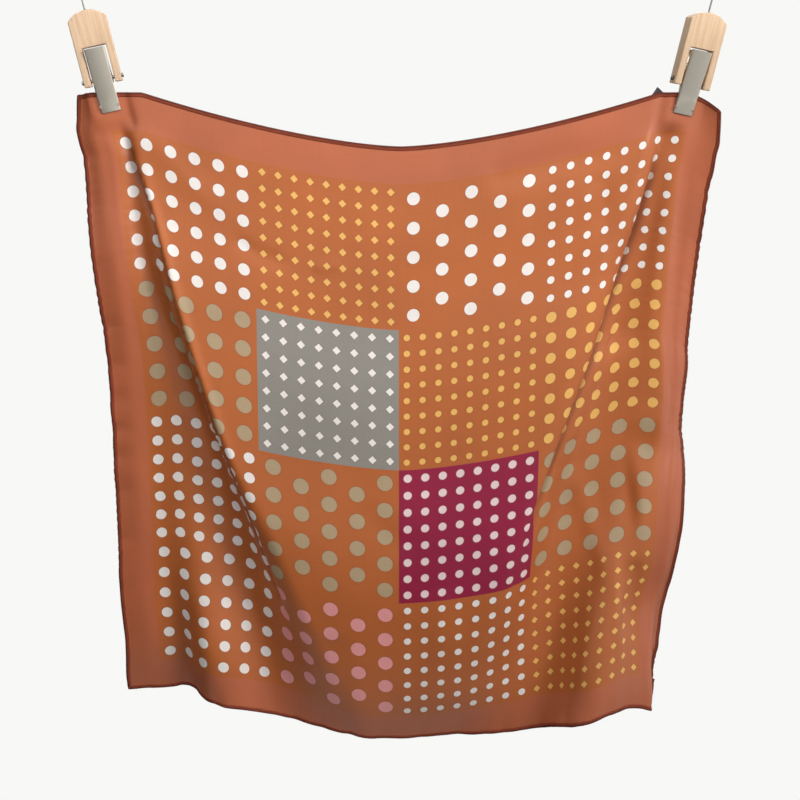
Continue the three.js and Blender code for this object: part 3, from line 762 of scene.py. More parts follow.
def print_colour(tree, cut, border):
    """The print's blocks of dots and diamonds inside the plain border."""
    way = add_node(tree, "ShaderNodeSeparateXYZ", [cut])
    known = {"u": way.outputs["X"], "v": way.outputs["Y"]}
    add_sums(tree, BLOCK_SUMS, known)
    blocks = [block for row in PRINT for block in row]
    ramp_place = known["place on ramp"]
    ground = block_ramp(tree, ramp_place, [linear(ground) for ground, *_ in blocks])
    ink = block_ramp(tree, ramp_place, [linear(ink) for _, ink, *_ in blocks])
    form = add_node(tree, "ShaderNodeSeparateColor", [block_ramp(tree, ramp_place, [
        (dots / MOST_DOTS, width / WIDEST_DOT, float(kind == DIAMOND), 1.0)
        for *_, dots, width, kind in blocks])])
    layout = add_node(tree, "ShaderNodeSeparateColor", [block_ramp(tree, ramp_place, [
        (float(kind == OFFSET), 0.0, 0.0, 1.0) for *_, kind in blocks])])
    known.update({
        "dots share": form.outputs["Red"], "width share": form.outputs["Green"],
        "diamond": form.outputs["Blue"], "offset": layout.outputs["Red"]})
    add_sums(tree, DOT_SUMS, known)
    known["inside"] = add_node(tree, "ShaderNodeMapRange", {
        "Value": known["past edge"], "From Min": -DOT_EDGE, "From Max": DOT_EDGE,
        "To Min": 1.0, "To Max": 0.0}).outputs[0]
    known["near"] = add_node(tree, "ShaderNodeMapRange", {
        "Value": known["past edge"], "From Min": 0.0, "From Max": RIM_WIDTH,
        "To Min": RIM_DEPTH, "To Max": 0.0}).outputs[0]
    add_sums(tree, INK_SUMS, known)
    rimmed = add_node(tree, "ShaderNodeMix", {
        0: known["rim"], 6: ground, 7: linear(RIM_COLOUR)}, data_type="RGBA").outputs[2]
    block = add_node(tree, "ShaderNodeMix", {
        0: known["dot"], 6: rimmed, 7: ink}, data_type="RGBA").outputs[2]
    return add_node(tree, "ShaderNodeMix", {
        0: known["in print"], 6: (*border, 1.0), 7: block}, data_type="RGBA").outputs[2]


def uneven_tone(tree, cut):
    """How light the dye took: a wide mottle, with slubs along the warp and the weft."""
    mottle = add_node(tree, "ShaderNodeTexNoise", {
        "Vector": cut, "Scale": SQUARE / MOTTLE, "Detail": 2.0})
    thin, long = SLUB_WIDTH / SQUARE, SLUB_LENGTH / SQUARE
    slubs = add_node(tree, "ShaderNodeMath", [
        stretched_noise(tree, cut, sizes) for sizes in ((thin, long, 1.0), (long, thin, 1.0))],
        operation="ADD").outputs[0]
    uneven = add_node(tree, "ShaderNodeMath", [slubs, SLUB_WEIGHT, mottle.outputs["Fac"]],
                      operation="MULTIPLY_ADD").outputs[0]
    return add_node(tree, "ShaderNodeMapRange", {
        "Value": uneven, "From Min": UNEVEN_LOW, "From Max": UNEVEN_HIGH,
        "To Min": TONE_LOW, "To Max": TONE_HIGH}).outputs[0]


def painted_fold_shade(tree):
    """Painted shade in a fold's depth: where nearby cloth hides a point, its colour is darkened and made
    redder.
    """
    openness = add_node(tree, "ShaderNodeAmbientOcclusion", {"Distance": FOLD_HIDES * MM},
                        samples=12, only_local=True).outputs["AO"]
    share = add_node(tree, "ShaderNodeMapRange", {
        "Value": openness, "From Min": FOLD_SHUT, "From Max": FOLD_OPEN}).outputs[0]
    return add_node(tree, "ShaderNodeMix", {
        0: share, 6: linear(FOLD_SHADE_TINT), 7: linear("#ffffff")}, data_type="RGBA").outputs[2]


def weave_height(tree, cut):
    """Silk twill has about 4 ribs a millimetre, too fine to show, so its height is drawn as broad
    diagonal bands, TWILL_BAND apart along the weft, with a grain of threads between them."""
    band_scale = SQUARE / TWILL_BAND * 2 * math.pi / WAVE_RADIANS
    bands = add_node(tree, "ShaderNodeTexWave", {
        "Vector": cut, "Scale": band_scale, "Distortion": 0.6, "Detail": 1.0},
        wave_type="BANDS", bands_direction="DIAGONAL")
    grain = add_node(tree, "ShaderNodeTexNoise", {
        "Vector": cut, "Scale": SQUARE / WEAVE_GRAIN, "Detail": 3.0, "Roughness": 0.6})
    return add_node(tree, "ShaderNodeMath", [
        bands.outputs["Fac"], TWILL_WEIGHT, grain.outputs["Fac"]],
        operation="MULTIPLY_ADD").outputs[0]


def printed_silk(name, border, fade):
    """Screen-printed silk twill: a low, wide gloss that follows the folds, and a soft sheen at grazing
    angles, with painted shade darkening its colour in the folds. The reverse takes the same print, paler
    by `fade`."""
    material, tree = new_material(name)
    cut = add_node(tree, "ShaderNodeUVMap", uv_map="cut").outputs["UV"]
    toned = add_node(tree, "ShaderNodeVectorMath", {
        "Vector": print_colour(tree, cut, border), "Scale": uneven_tone(tree, cut)},
        operation="SCALE").outputs[0]
    faded = add_node(tree, "ShaderNodeMix", {
        0: fade, 6: toned, 7: linear(REVERSE_HAZE)}, data_type="RGBA").outputs[2]
    # The print's colour is darkened by painted shade in the folds.
    folded = add_node(tree, "ShaderNodeVectorMath", [faded, painted_fold_shade(tree)],
                      operation="MULTIPLY").outputs[0]
    shader = add_node(tree, "ShaderNodeBsdfPrincipled", {
        "Base Color": folded, "Roughness": 0.4, "Specular IOR Level": 0.65, "Anisotropic": 0.4,
        "Sheen Weight": 0.07, "Sheen Roughness": 0.35})
    finish_material(tree, shader, weave_height(tree, cut), strength=0.22, distance=0.14 * MM)
    return material


def spun_thread(name, colour, dark):
    """Dyed silk thread and rolled silk: darker than the cloth, with a fine uneven rib. The thread is
    dyed dark; the rolled hem is the cloth's own silk, and its darker colour is painted shade in the
    roll.
    """
    material, tree = new_material(name)
    place = add_node(tree, "ShaderNodeTexCoord").outputs["Object"]
    lint = stretched_noise(tree, place, [1.11 * MM] * 3, Detail=3.0)
    blotch = stretched_noise(tree, place, [16.7 * MM] * 3)
    shade = add_node(tree, "ShaderNodeMix", {
        0: blotch, 6: linear(colour), 7: linear(dark)}, data_type="RGBA").outputs[2]
    shader = add_node(tree, "ShaderNodeBsdfPrincipled", {
        "Base Color": shade, "Roughness": 0.6, "Specular IOR Level": 0.25})
    finish_material(tree, shader, lint, strength=0.4, distance=0.15 * MM)
    return material


def planed_beech():
    """Planed and waxed beech: pale, fine grain along the block, with short darker flecks."""
    material, tree = new_material("planed_beech")
    place = add_node(tree, "ShaderNodeAttribute", attribute_name="clip_place").outputs["Vector"]
    # Growth lines are about 1.6 mm apart and run the length of the block
    grain = stretched_noise(tree, place, (1.6 * MM, 1.6 * MM, 42 * MM), Detail=4.0, Roughness=0.55)
    # Flecks are rays about 0.5 mm wide and 3 mm long
    fleck = stretched_noise(tree, place, (0.5 * MM, 0.5 * MM, 3 * MM))
    flecks = add_node(tree, "ShaderNodeMapRange", {
        "Value": fleck, "From Min": 0.58, "From Max": 0.7, "To Min": 0.0, "To Max": 0.35}).outputs[0]
    tone = add_node(tree, "ShaderNodeMapRange", {
        "Value": grain, "From Min": 0.32, "From Max": 0.68}).outputs[0]
    plain = add_node(tree, "ShaderNodeMix", {
        0: tone, 6: linear("#e9ccae"), 7: linear("#d9b592")}, data_type="RGBA").outputs[2]
    wood = add_node(tree, "ShaderNodeMix", {
        0: flecks, 6: plain, 7: linear("#bb8f68")}, data_type="RGBA").outputs[2]
    shader = add_node(tree, "ShaderNodeBsdfPrincipled", {
        "Base Color": wood, "Roughness": 0.5, "Specular IOR Level": 0.4})
    finish_material(tree, shader, grain, strength=0.25, distance=0.15 * MM)
    return material


def brushed_nickel():
    """Nickel-plated sheet steel, brushed along its length, so its gloss is drawn out across."""
    material, tree = new_material("brushed_nickel")
    place = add_node(tree, "ShaderNodeAttribute", attribute_name="clip_place").outputs["Vector"]
    # Brush marks about 0.2 mm wide, drawn at 0.5 mm so that they show
    brush = stretched_noise(tree, place, (0.5 * MM, 0.5 * MM, 30 * MM), Detail=3.0)
    tone = add_node(tree, "ShaderNodeMix", {
        0: brush, 6: linear("#ddd7ca"), 7: linear("#cbc4b6")}, data_type="RGBA").outputs[2]
    shader = add_node(tree, "ShaderNodeBsdfPrincipled", {
        "Base Color": tone, "Metallic": 0.85, "Roughness": 0.34, "Anisotropic": 0.5})
    finish_material(tree, shader, brush, strength=0.04, distance=0.1 * MM)
    return material


def spring_steel():
    """Drawn steel wire: bright and smooth, a little darker where it is handled."""
    material, tree = new_material("spring_steel")
    place = add_node(tree, "ShaderNodeTexCoord").outputs["Object"]
    haze = stretched_noise(tree, place, [3.33 * MM] * 3)
    tone = add_node(tree, "ShaderNodeMix", {
        0: haze, 6: linear("#9a9896"), 7: linear("#6d6b69")}, data_type="RGBA").outputs[2]
    shader = add_node(tree, "ShaderNodeBsdfPrincipled", {
        "Base Color": tone, "Metallic": 1.0, "Roughness": 0.3})
    finish_material(tree, shader, haze, strength=0.1, distance=0.05 * MM)
    return material


def woven_label():
    """A woven satin label, close to black, with its weft just showing."""
    material, tree = new_material("woven_satin_label")
    place = add_node(tree, "ShaderNodeTexCoord").outputs["Object"]
    weft = stretched_noise(tree, place, [0.667 * MM] * 3)
    tone = add_node(tree, "ShaderNodeMix", {
        0: weft, 6: linear("#17121a"), 7: linear("#2c2430")}, data_type="RGBA").outputs[2]
    shader = add_node(tree, "ShaderNodeBsdfPrincipled", {
        "Base Color": tone, "Roughness": 0.6, "Sheen Weight": 0.3})
    finish_material(tree, shader, weft, strength=0.4, distance=0.1 * MM)
    return material


MATERIALS = {}


def shared(maker):
    """A material that several pieces take, made once."""
    if maker not in MATERIALS:
        MATERIALS[maker] = maker()
    return MATERIALS[maker]


# The cloth, its hem, its stitching and its label

class SCARF_OT_silk_square(bpy.types.Operator):
    """Lay a flat square of cloth, then hang it on its net"""
    bl_idname = "scarf.silk_square"
    bl_label = "Silk square"

    def execute(self, context):
        cloth = context.scene.scarf_cloth
        hung = hung_cloth(context)
        threads = cloth.threads
        side = SQUARE * MM
        clear_selection()
        bpy.ops.mesh.primitive_grid_add(
            x_subdivisions=threads, y_subdivisions=threads, size=side, calc_uvs=True)
        silk = named(context.object, "silk_square")
        silk.data.uv_layers[0].name = "cut"
        for vertex in silk.data.vertices:
            i = round((vertex.co.x / side + 0.5) * threads)
            j = round((0.5 - vertex.co.y / side) * threads)
            vertex.co = Vector(hung.net[j, i]) * MM
        border = tuple(cloth.border)
        dress(silk, printed_silk("printed_silk_twill", border, 0.0),
              printed_silk("silk_twill_reverse", border, REVERSE_FADE))
        apply_modifier(silk, "SOLIDIFY", thickness=cloth.wall, offset=0.0, material_offset=1,
                       material_offset_rim=0)
        select_only(silk)
        bpy.ops.object.shade_smooth()
        declare(silk, "silk", "silk_panel")
        return {"FINISHED"}


HEM_SIDES = {
    "top": lambda along, in_by: (along, in_by),
    "bottom": lambda along, in_by: (along, SQUARE - in_by),
    "left": lambda along, in_by: (in_by, along),
    "right": lambda along, in_by: (SQUARE - in_by, along),
}


def hem_frame(hung, side, along, in_by):
    """A point on the cloth by a hem, with the way in from the edge and the way out of the face."""
    place = HEM_SIDES[side]
    inward = hung.point(*place(along, HEM_WAY_IN)) - hung.point(*place(along, 0.0))
    return (hung.point(*place(along, in_by)), inward.normalized(),
            hung.normal(*place(along, in_by)))


class SCARF_OT_rolled_hem(bpy.types.Operator):
    """Roll a narrow hem along each side of the cloth"""
    bl_idname = "scarf.rolled_hem"
    bl_label = "Rolled hem"

    def execute(self, context):
        cloth = context.scene.scarf_cloth
        hung = hung_cloth(context)
        # The rolled hem's colours, darker than the silk's, are painted shade in the roll.
        rolled = spun_thread("rolled_silk_hem_painted_shade", "#96482f", "#7c3724")
        for side in HEM_SIDES:
            hem = named(unit_tube(context, HEM_AROUND, HEM_STEPS), f"rolled_hem_{side}")
            for vertex in hem.data.vertices:
                vertex.co = self.roll(cloth, hung, side, vertex.co)
            recalculate_normals(hem)
            smooth(hem, 60)
            dress(hem, rolled)
            declare(hem, "hem", f"hem_{side}")
        return {"FINISHED"}

    def roll(self, cloth, hung, side, point):
        """Where one point of a straight tube lies on a side's roll, which is flat and uneven."""
        start = HEM_START[side]
        along = start + (point.z + 0.5) * (SQUARE - 2 * start)
        middle = cloth.hem_width / 2 / MM - HEM_OUTSIDE
        here, inward, outward = hem_frame(hung, side, along, middle)
        wave = 1.0 + sum(one["share"] * math.sin(along * one["rate"] + one["start"])
                         for one in HEM_WAVES)
        across = math.copysign(abs(point.x) ** HEM_SQUARENESS, point.x)
        through = math.copysign(abs(point.y) ** HEM_SQUARENESS, point.y)
        return (here + inward * across * cloth.hem_width / 2
                + outward * through * wave * cloth.hem_wall / 2)


class SCARF_OT_hem_stitches(bpy.types.Operator):
    """Overcast the edge with short stitches that wrap from the face round to the reverse"""
    bl_idname = "scarf.hem_stitches"
    bl_label = "Hem stitches"

    def execute(self, context):
        cloth = context.scene.scarf_cloth
        hung = hung_cloth(context)
        pitch = cloth.stitch_pitch / MM
        stitch = unit_tube(context, STITCH_SIDES, STITCH_STEPS)
        rings = [vertex.co.copy() for vertex in stitch.data.vertices]
        corners = [tuple(face.vertices) for face in stitch.data.polygons]
        bpy.data.objects.remove(stitch, do_unlink=True)
        vertices, faces = [], []
        for side in HEM_SIDES:
            for k in range(int(SQUARE / pitch) - 1):
                here, inward, outward = hem_frame(hung, side, (k + 1) * pitch, 0.0)
                run = outward.cross(inward).normalized()
                first = len(vertices)
                vertices += [self.wrap(cloth, point, here, inward, outward, run) for point in rings]
                faces += [tuple(first + corner for corner in face) for face in corners]
        sewing = bpy.data.meshes.new("hem_stitches")
        sewing.from_pydata(vertices, [], faces)
        piece = bpy.data.objects.new("hem_stitches", sewing)
        context.collection.objects.link(piece)
        recalculate_normals(piece)
        smooth(piece, 50)
        dress(piece, spun_thread("hem_thread", "#541d18", "#33100f"))
        declare(piece, "hem")
        return {"FINISHED"}

    def wrap(self, cloth, point, here, inward, outward, run):
        """Bends one point of a stitch round the edge, on a slant along it."""
        turn = point.z * math.radians(STITCH_WRAP)
        reach = cloth.stitch_reach / 2
        through = cloth.hem_wall / 2 + cloth.thread * STITCH_CLEAR
        centre = (here + inward * (reach - (reach + cloth.thread) * math.cos(turn))
                  + outward * through * math.sin(turn) + run * point.z * cloth.stitch_pitch)
        away = outward * math.sin(turn) - inward * math.cos(turn)
        return centre + (away * point.x + run * point.y) * cloth.thread


class SCARF_OT_care_label(bpy.types.Operator):
    """Sew a blank folded label behind the top edge, one corner above it"""
    bl_idname = "scarf.care_label"
    bl_label = "Care label"

    def execute(self, context):
        hung = hung_cloth(context)
        turn = math.radians(LABEL_TURN)
        cells_across, cells_down = LABEL_CELLS
        clear_selection()
        bpy.ops.mesh.primitive_grid_add(
            x_subdivisions=cells_across, y_subdivisions=cells_down, size=1.0)
        label = named(context.object, "care_label_woven")
        for vertex in label.data.vertices:
            a, d = vertex.co.x * LABEL_WIDTH, -vertex.co.y * LABEL_HEIGHT
            across = LABEL_AT[0] + a * math.cos(turn) - d * math.sin(turn)
            down = LABEL_AT[1] + a * math.sin(turn) + d * math.cos(turn)
            above, on_cloth = max(-down, 0.0), max(down, 0.0)
            curl = LABEL_CURL * math.sin(math.pi * (vertex.co.x + 0.5)) + LABEL_LEAN * above**2
            back = hung.normal(across, on_cloth) * (LABEL_BEHIND + curl) * MM
            vertex.co = hung.point(across, on_cloth) - back + Vector((0.0, 0.0, above * MM))
        apply_modifier(label, "SOLIDIFY", thickness=LABEL_WALL * MM, offset=0.0)
        apply_modifier(label, "BEVEL", width=LABEL_ROUND * MM, segments=2, limit_method="ANGLE",
                       angle_limit=math.radians(50))
        recalculate_normals(label)
        smooth(label, 50)
        dress(label, woven_label())
        declare(label, "label", "care_label")
        return {"FINISHED"}


# The clips

def fit_to_clip(context, piece, side, part, slot, material, node=None):
    """Puts a piece that was made in a clip's own axes on that clip, in place of its CAD node. Its
    places in those axes are stored first, for grain that follows the clip."""
    named(piece, f"clip_{part}_{side}")
    places = piece.data.attributes.new("clip_place", "FLOAT_VECTOR", "POINT")
    places.data.foreach_set("vector", [c for v in piece.data.vertices for c in v.co])
    piece.data.transform(hung_cloth(context).clip_place(side))
    piece.matrix_world = Matrix.Identity(4)
    dress(piece, shared(material))
    declare(piece, slot, f"clip_{side}_{node or part}")


class SCARF_OT_clip_blocks(bpy.types.Operator):
    """Plane a beech block for each clip, with its arched crown, slot and holes"""
    bl_idname = "scarf.clip_blocks"
    bl_label = "Clip blocks"

    def execute(self, context):
        for side in SIDES:
            block = self.plane_block(context, context.scene.clip_hanger)
            self.cut_openings(context, context.scene.clip_hanger, block)
            apply_modifier(block, "BEVEL", width=BLOCK_ROUND * MM, segments=3,
                           limit_method="ANGLE", angle_limit=math.radians(40))
            smooth(block, 40)
            fit_to_clip(context, block, side, "block", "beech", planed_beech, "wood")
        return {"FINISHED"}

    def plane_block(self, context, clip):
        """A plain block whose top edge rises to an arc."""
        half, rise = clip.block_width / 2, CROWN_RISE * MM
        radius = (half**2 + rise**2) / (2 * rise)
        low, high = LEGS_AT * MM, SHOULDER * MM
        clear_selection()
        bpy.ops.mesh.primitive_cube_add(
            size=1.0, location=(0, 0, (low + high) / 2),
            scale=(clip.block_width, clip.block_depth, high - low))
        block = context.object
        bpy.ops.object.transform_apply(location=True, scale=True)
        with edited(block) as mesh:
            crown = [e for e in mesh.edges
                     if all(v.co.z > high - MM for v in e.verts)
                     and abs(e.verts[0].co.x - e.verts[1].co.x) > MM]
            bmesh.ops.subdivide_edges(mesh, edges=crown, cuts=CROWN_CUTS, use_grid_fill=True)
            for vertex in mesh.verts:
                if vertex.co.z > high - 0.1 * MM:
                    vertex.co.z += math.sqrt(radius**2 - vertex.co.x**2) - (radius - rise)
        return block

    def cut_openings(self, context, clip, block):
        """Cuts the slot from below the legs, the pin's bore across, and the hook's hole."""
        slot_low, slot_high = (LEGS_AT - BELOW_LEGS) * MM, SLOT_TOP * MM
        bpy.ops.mesh.primitive_cube_add(
            size=1.0, location=(0, 0, (slot_low + slot_high) / 2),
            scale=(clip.slot_width, clip.block_depth * 2, slot_high - slot_low))
        cut_away(block, context.object)
        bpy.ops.mesh.primitive_cylinder_add(
            vertices=32, radius=PIN_HOLE * MM, depth=clip.block_width * 1.3,
            location=(0, 0, PIN_UP * MM), rotation=(0, math.pi / 2, 0))
        cut_away(block, context.object)
        bpy.ops.mesh.primitive_cylinder_add(
            vertices=24, radius=HOOK_HOLE * MM, depth=2 * HOOK_HOLE_DEPTH * MM,
            location=(0, 0, (SHOULDER + CROWN_RISE) * MM))
        cut_away(block, context.object)


def jaw_inside(clip, up):
    """How far the inside of a jaw's plate is from the cloth's middle at a height up the clip."""
    return JAW_CLEAR * MM + math.tan(clip.jaw_slope) * up


def jaw_middle(clip, up):
    """How far the middle of a jaw's sheet is from the cloth's middle at a height up the clip."""
    return jaw_inside(clip, up) + SHEET / 2 * MM


class SCARF_OT_clip_jaws(bpy.types.Operator):
    """Fold the two sheet-metal jaws of each clip"""
    bl_idname = "scarf.clip_jaws"
    bl_label = "Clip jaws"

    def execute(self, context):
        clip = context.scene.clip_hanger
        for side in SIDES:
            for part, width, toward in (("front_jaw", clip.jaw_width, -1),
                                        ("back_jaw", clip.jaw_width - BACK_NARROWER * MM, 1)):
                jaw = self.fold_jaw(context, clip, width, toward)
                fit_to_clip(context, jaw, side, part, "nickel", brushed_nickel)
        return {"FINISHED"}

    def fold_jaw(self, context, clip, width, toward):
        """A plate with a flange folded back along each long edge; `toward` is -1 for the front."""
        fold = FOLD_RADIUS * MM
        half = (width - SHEET * MM) / 2
        clear_selection()
        bpy.ops.mesh.primitive_grid_add(x_subdivisions=1, y_subdivisions=JAW_ROWS, size=1.0)
        jaw = context.object
        with edited(jaw) as mesh:
            for vertex in mesh.verts:
                up = (vertex.co.y + 0.5) * JAW_TOP * MM
                vertex.co = Vector((math.copysign(half - fold, vertex.co.x),
                                    toward * jaw_middle(clip, up), up))
            for sign in (1, -1):
                rim = [e for e in mesh.edges if e.is_boundary
                       and all(v.co.x * sign > half - 1.5 * fold for v in e.verts)
                       and abs(e.verts[0].co.z - e.verts[1].co.z) > 0.1 * MM]
                for step in range(FOLD_STEPS):
                    angle = math.radians(90) * (step + 1) / FOLD_STEPS
                    rim, new = self.grow(mesh, rim)
                    for vertex in new:
                        vertex.co.x = sign * (half - fold + fold * math.sin(angle))
                        back = fold * (1 - math.cos(angle))
                        vertex.co.y = toward * (jaw_middle(clip, vertex.co.z) - back)
                rim, new = self.grow(mesh, rim)
                for vertex in new:
                    vertex.co.y = toward * self.flange_edge(clip, vertex.co.z)
            bmesh.ops.recalc_face_normals(mesh, faces=mesh.faces)
        apply_modifier(jaw, "SOLIDIFY", thickness=SHEET * MM, offset=0.0, use_even_offset=True)
        apply_modifier(jaw, "BEVEL", width=SHEET_ROUND * MM, segments=2, limit_method="ANGLE",
                       angle_limit=math.radians(60))
        recalculate_normals(jaw)
        smooth(jaw, 40)
        return jaw

    def grow(self, mesh, rim):
        """Extrudes a row of edges where it lies, and gives its new edges and points."""
        grown = bmesh.ops.extrude_edge_only(mesh, edges=rim)["geom"]
        return ([part for part in grown if isinstance(part, bmesh.types.BMEdge)],
                [part for part in grown if isinstance(part, bmesh.types.BMVert)])

    def flange_edge(self, clip, up):
        """Where a flange ends: short along the plate, and a round ear about the pin."""
        fold = FOLD_RADIUS * MM
        plate = jaw_middle(clip, up)
        shallow = plate - FLANGE_DEPTH * MM - fold
        if up < FLANGE_FROM * MM:
            return plate - fold - FLANGE_STUB * MM
        if up < CLOTH_TOP * MM:
            return max(FLANGE_FACE * MM, shallow)
        off_pin = abs(up - PIN_UP * MM)
        ear = EAR_RADIUS * MM
        if off_pin < ear:
            return -math.sqrt(ear**2 - off_pin**2)
        return shallow * min((off_pin - ear) / (EAR_RUN * MM), 1.0)


class SCARF_OT_clip_pins(bpy.types.Operator):
    """Turn the pivot pin of each clip and wind its spring"""
    bl_idname = "scarf.clip_pins"
    bl_label = "Pins and springs"

    def execute(self, context):
        for side in SIDES:
            fit_to_clip(context, self.turn_pin(context), side, "pin", "steel", spring_steel)
            spring = self.wind_spring(context, context.scene.clip_hanger)
            fit_to_clip(context, spring, side, "spring", "steel", spring_steel)
        return {"FINISHED"}

    def turn_pin(self, context):
        """A shank across the clip with a domed head on each end, drawn out ring by ring."""
        clear_selection()
        bpy.ops.mesh.primitive_cylinder_add(
            vertices=32, radius=PIN_RADIUS * MM, depth=2 * (PIN_REACH - PIN_HEAD) * MM,
            location=(0, 0, PIN_UP * MM), rotation=(0, math.pi / 2, 0))
        pin = context.object
        bpy.ops.object.transform_apply(location=True, rotation=True)
        bpy.ops.object.mode_set(mode="EDIT")
        bpy.ops.mesh.select_all(action="DESELECT")
        for face in bmesh.from_edit_mesh(pin.data).faces:
            face.select_set(abs(face.normal.x) > 0.9)
        for ring in PIN_HEAD_RINGS:
            bpy.ops.mesh.extrude_region_move()
            mesh = bmesh.from_edit_mesh(pin.data)
            for vertex in {v for face in mesh.faces if face.select for v in face.verts}:
                radial = Vector((0.0, vertex.co.y, vertex.co.z - PIN_UP * MM)).normalized()
                vertex.co += radial * ring["grow"] * MM
                vertex.co.x += math.copysign(ring["out"] * MM, vertex.co.x)
            bmesh.update_edit_mesh(pin.data)
        bpy.ops.object.mode_set(mode="OBJECT")
        recalculate_normals(pin)
        smooth(pin, 35)
        return pin

    def wind_spring(self, context, clip):
        """A coil round the pin whose two arms run up to the insides of the two jaws."""
        arm_y = jaw_inside(clip, ARM_UP * MM) / MM - ARM_CLEAR
        foot_up = PIN_UP + ARM_ABOVE_PIN
        arm = []
        for k in range(ARM_STEPS):
            u = k / ARM_STEPS
            arm.append((arm_y * (1 - u) + SPRING_RADIUS * u, ARM_UP * (1 - u) + foot_up * u))
        points = [(-SPRING_WIDTH / 2, -y, z) for y, z in arm]
        steps = int(SPRING_TURNS * TURN_STEPS)
        for k in range(steps + 1):
            angle = math.pi + 2 * math.pi * k / TURN_STEPS
            points.append((SPRING_WIDTH * (k / steps - 0.5), SPRING_RADIUS * math.cos(angle),
                           PIN_UP + SPRING_RADIUS * math.sin(angle)))
        points += [(SPRING_WIDTH / 2, y, z) for y, z in reversed(arm)]
        return bend_wire(context, [Vector(point) * MM for point in points], SPRING_WIRE * MM)


def bend_wire(context, points, radius, sides=3):
    """A round wire along points, made a mesh with closed ends."""
    curve = bpy.data.curves.new("wire", "CURVE")
    curve.dimensions = "3D"
    curve.bevel_depth = radius
    curve.bevel_resolution = sides
    curve.use_fill_caps = True
    spline = curve.splines.new("POLY")
    spline.points.add(len(points) - 1)
    for knot, place in zip(spline.points, points):
        knot.co = (*place, 1.0)
    wire = bpy.data.objects.new("wire", curve)
    context.collection.objects.link(wire)
    select_only(wire)
    bpy.ops.object.convert(target="MESH")
    recalculate_normals(wire)
    smooth(wire, 60)
    return wire


class SCARF_OT_clip_hooks(bpy.types.Operator):
    """Bend the wire hook of each clip, from its seat in the block to its eye"""
    bl_idname = "scarf.clip_hooks"
    bl_label = "Wire hooks"

    def execute(self, context):
        clip = context.scene.clip_hanger
        for side in SIDES:
            points = self.hook_line(clip, hung_cloth(context).hook_reach(side) - clip.eye_radius)
            hook = bend_wire(context, points, clip.wire_radius)
            fit_to_clip(context, hook, side, "hook", "steel", spring_steel)
        return {"FINISHED"}

    def hook_line(self, clip, centre):
        """The wire's middle line: a straight stem, a bend to one side, and the arc of the eye."""
        ring = clip.eye_radius + clip.wire_radius
        seat = (SHOULDER + CROWN_RISE - HOOK_HOLE_DEPTH + FOOT_GAP) * MM
        top = centre - ring - STEM_STOP * MM
        stem_end, corner = Vector((0, 0, top)), Vector((0, 0, top + BEND_RISE * MM))
        eye = []
        for k in range(EYE_KNOTS):
            angle = math.radians(EYE_FROM + EYE_ARC * k / (EYE_KNOTS - 1))
            eye.append(Vector((ring * math.cos(angle), 0, centre + ring * math.sin(angle))))
        shares = [k / STEM_STEPS for k in range(STEM_STEPS + 1)]
        stem = [Vector((0, 0, seat + (top - seat) * u)) for u in shares]
        bend = [(1 - u) ** 2 * stem_end + 2 * u * (1 - u) * corner + u * u * eye[0]
                for u in shares[1:-1]]
        return stem + bend + eye


# The stage

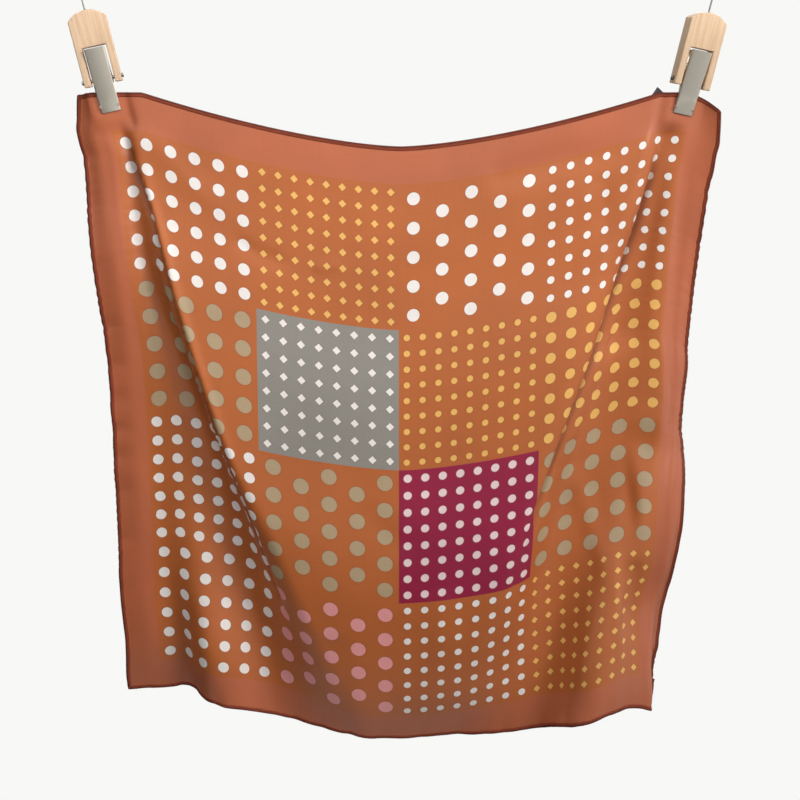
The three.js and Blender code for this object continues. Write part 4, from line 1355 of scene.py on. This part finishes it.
class SCARF_OT_studio(bpy.types.Operator):
    """Set the floor, the soft studio lights and the camera"""
    bl_idname = "scarf.studio"
    bl_label = "Studio"

    def execute(self, context):
        self.lay_floor(context)
        self.hang_lamps(context)
        self.light_room(context)
        self.place_camera(context)
        context.scene.view_settings.view_transform = "Standard"
        return {"FINISHED"}

    def lay_floor(self, context):
        clear_selection()
        bpy.ops.mesh.primitive_circle_add(
            vertices=96, radius=FLOOR_RADIUS, fill_type="NGON", location=(0, 0, FLOOR_LEVEL))
        floor = named(context.object, "studio_floor")
        material, tree = new_material("pale_paper")
        shader = add_node(tree, "ShaderNodeBsdfPrincipled", {
            "Base Color": linear("#f0efec"), "Roughness": 0.8})
        finish_material(tree, shader)
        dress(floor, material)

    def hang_lamps(self, context):
        for name, place, size, power, spread, colour in LAMPS:
            clear_selection()
            bpy.ops.object.light_add(type="AREA", location=place)
            lamp = context.object
            lamp.name = name
            lamp.data.size = size
            lamp.data.energy = power
            lamp.data.spread = math.radians(spread)
            lamp.data.color = linear(colour)[:3]
            way = Vector(LAMPS_AIM) - Vector(place)
            lamp.rotation_euler = way.to_track_quat("-Z", "Y").to_euler()

    def light_room(self, context):
        """A pale room: one flat tone to the camera, and brighter towards its window to the rest."""
        world = bpy.data.worlds.new("pale_room")
        context.scene.world = world
        world.use_nodes = True
        tree = world.node_tree
        tree.nodes.clear()
        path = add_node(tree, "ShaderNodeLightPath")
        way = add_node(tree, "ShaderNodeTexCoord").outputs["Generated"]
        to_window = add_node(tree, "ShaderNodeVectorMath", {0: way, 1: WINDOW_WAY},
                             operation="DOT_PRODUCT").outputs["Value"]
        light = {}
        for kind, window in WINDOW_LIGHT.items():
            light[kind] = add_node(tree, "ShaderNodeMapRange", {
                "Value": to_window, "From Min": window["away"], "From Max": window["toward"],
                "To Min": window["dim"], "To Max": window["bright"]}).outputs[0]
        shone = add_node(tree, "ShaderNodeMix", {
            0: path.outputs["Is Glossy Ray"], 2: light["diffuse"], 3: light["glossy"]}).outputs[0]
        strength = add_node(tree, "ShaderNodeMix", {
            0: path.outputs["Is Camera Ray"], 2: shone, 3: 1.0}).outputs[0]
        room = add_node(tree, "ShaderNodeBackground", {
            "Color": linear("#f8f8f6"), "Strength": strength})
        add_node(tree, "ShaderNodeOutputWorld", {"Surface": room.outputs[0]})

    def place_camera(self, context):
        clear_selection()
        bpy.ops.object.camera_add(
            location=Vector(CAMERA_AT) * MM, rotation=(math.radians(90 - CAMERA_DOWN), 0, 0))
        camera = context.object
        camera.name = "photo_camera"
        camera.data.lens = CAMERA_LENS
        camera.data.sensor_width = CAMERA_SENSOR
        camera.data.clip_start = CAMERA_NEAREST * MM
        context.scene.camera = camera


MAKERS = (
    SCARF_OT_silk_square, SCARF_OT_rolled_hem, SCARF_OT_hem_stitches, SCARF_OT_care_label,
    SCARF_OT_clip_blocks, SCARF_OT_clip_jaws, SCARF_OT_clip_pins, SCARF_OT_clip_hooks,
    SCARF_OT_studio,
)


class SCARF_PT_sidebar(bpy.types.Panel):
    """Lists the makers of the silk square and its clips"""
    bl_idname = "SCARF_PT_sidebar"
    bl_label = "Silk square"
    bl_space_type = "VIEW_3D"
    bl_region_type = "UI"
    bl_category = "Silk square"

    def draw(self, context):
        for maker in MAKERS:
            self.layout.operator(maker.bl_idname)
        for sizes in (context.scene.scarf_cloth, context.scene.clip_hanger):
            column = self.layout.column()
            for name in sizes.__annotations__:
                column.prop(sizes, name)


CLASSES = (ScarfCloth, ClipHanger, *MAKERS, SCARF_PT_sidebar)


def register():
    for cls in CLASSES:
        bpy.utils.register_class(cls)
    bpy.types.Scene.scarf_cloth = PointerProperty(type=ScarfCloth)
    bpy.types.Scene.clip_hanger = PointerProperty(type=ClipHanger)


def unregister():
    del bpy.types.Scene.clip_hanger
    del bpy.types.Scene.scarf_cloth
    for cls in reversed(CLASSES):
        bpy.utils.unregister_class(cls)


def declare_sheet():
    """The silk is one sheet of cloth, cut square; this gathers its four rolled hems and its stitches in
    a list, which nothing uses.
    """
    trim = [bpy.data.objects[f"rolled_hem_{side}"] for side in HEM_SIDES]
    trim.append(bpy.data.objects["hem_stitches"])


def main():
    register()
    bpy.ops.scarf.silk_square()
    bpy.ops.scarf.rolled_hem()
    bpy.ops.scarf.hem_stitches()
    bpy.ops.scarf.care_label()
    bpy.ops.scarf.clip_blocks()
    bpy.ops.scarf.clip_jaws()
    bpy.ops.scarf.clip_pins()
    bpy.ops.scarf.clip_hooks()
    bpy.ops.scarf.studio()
    declare_sheet()


if __name__ == "__main__":
    main()
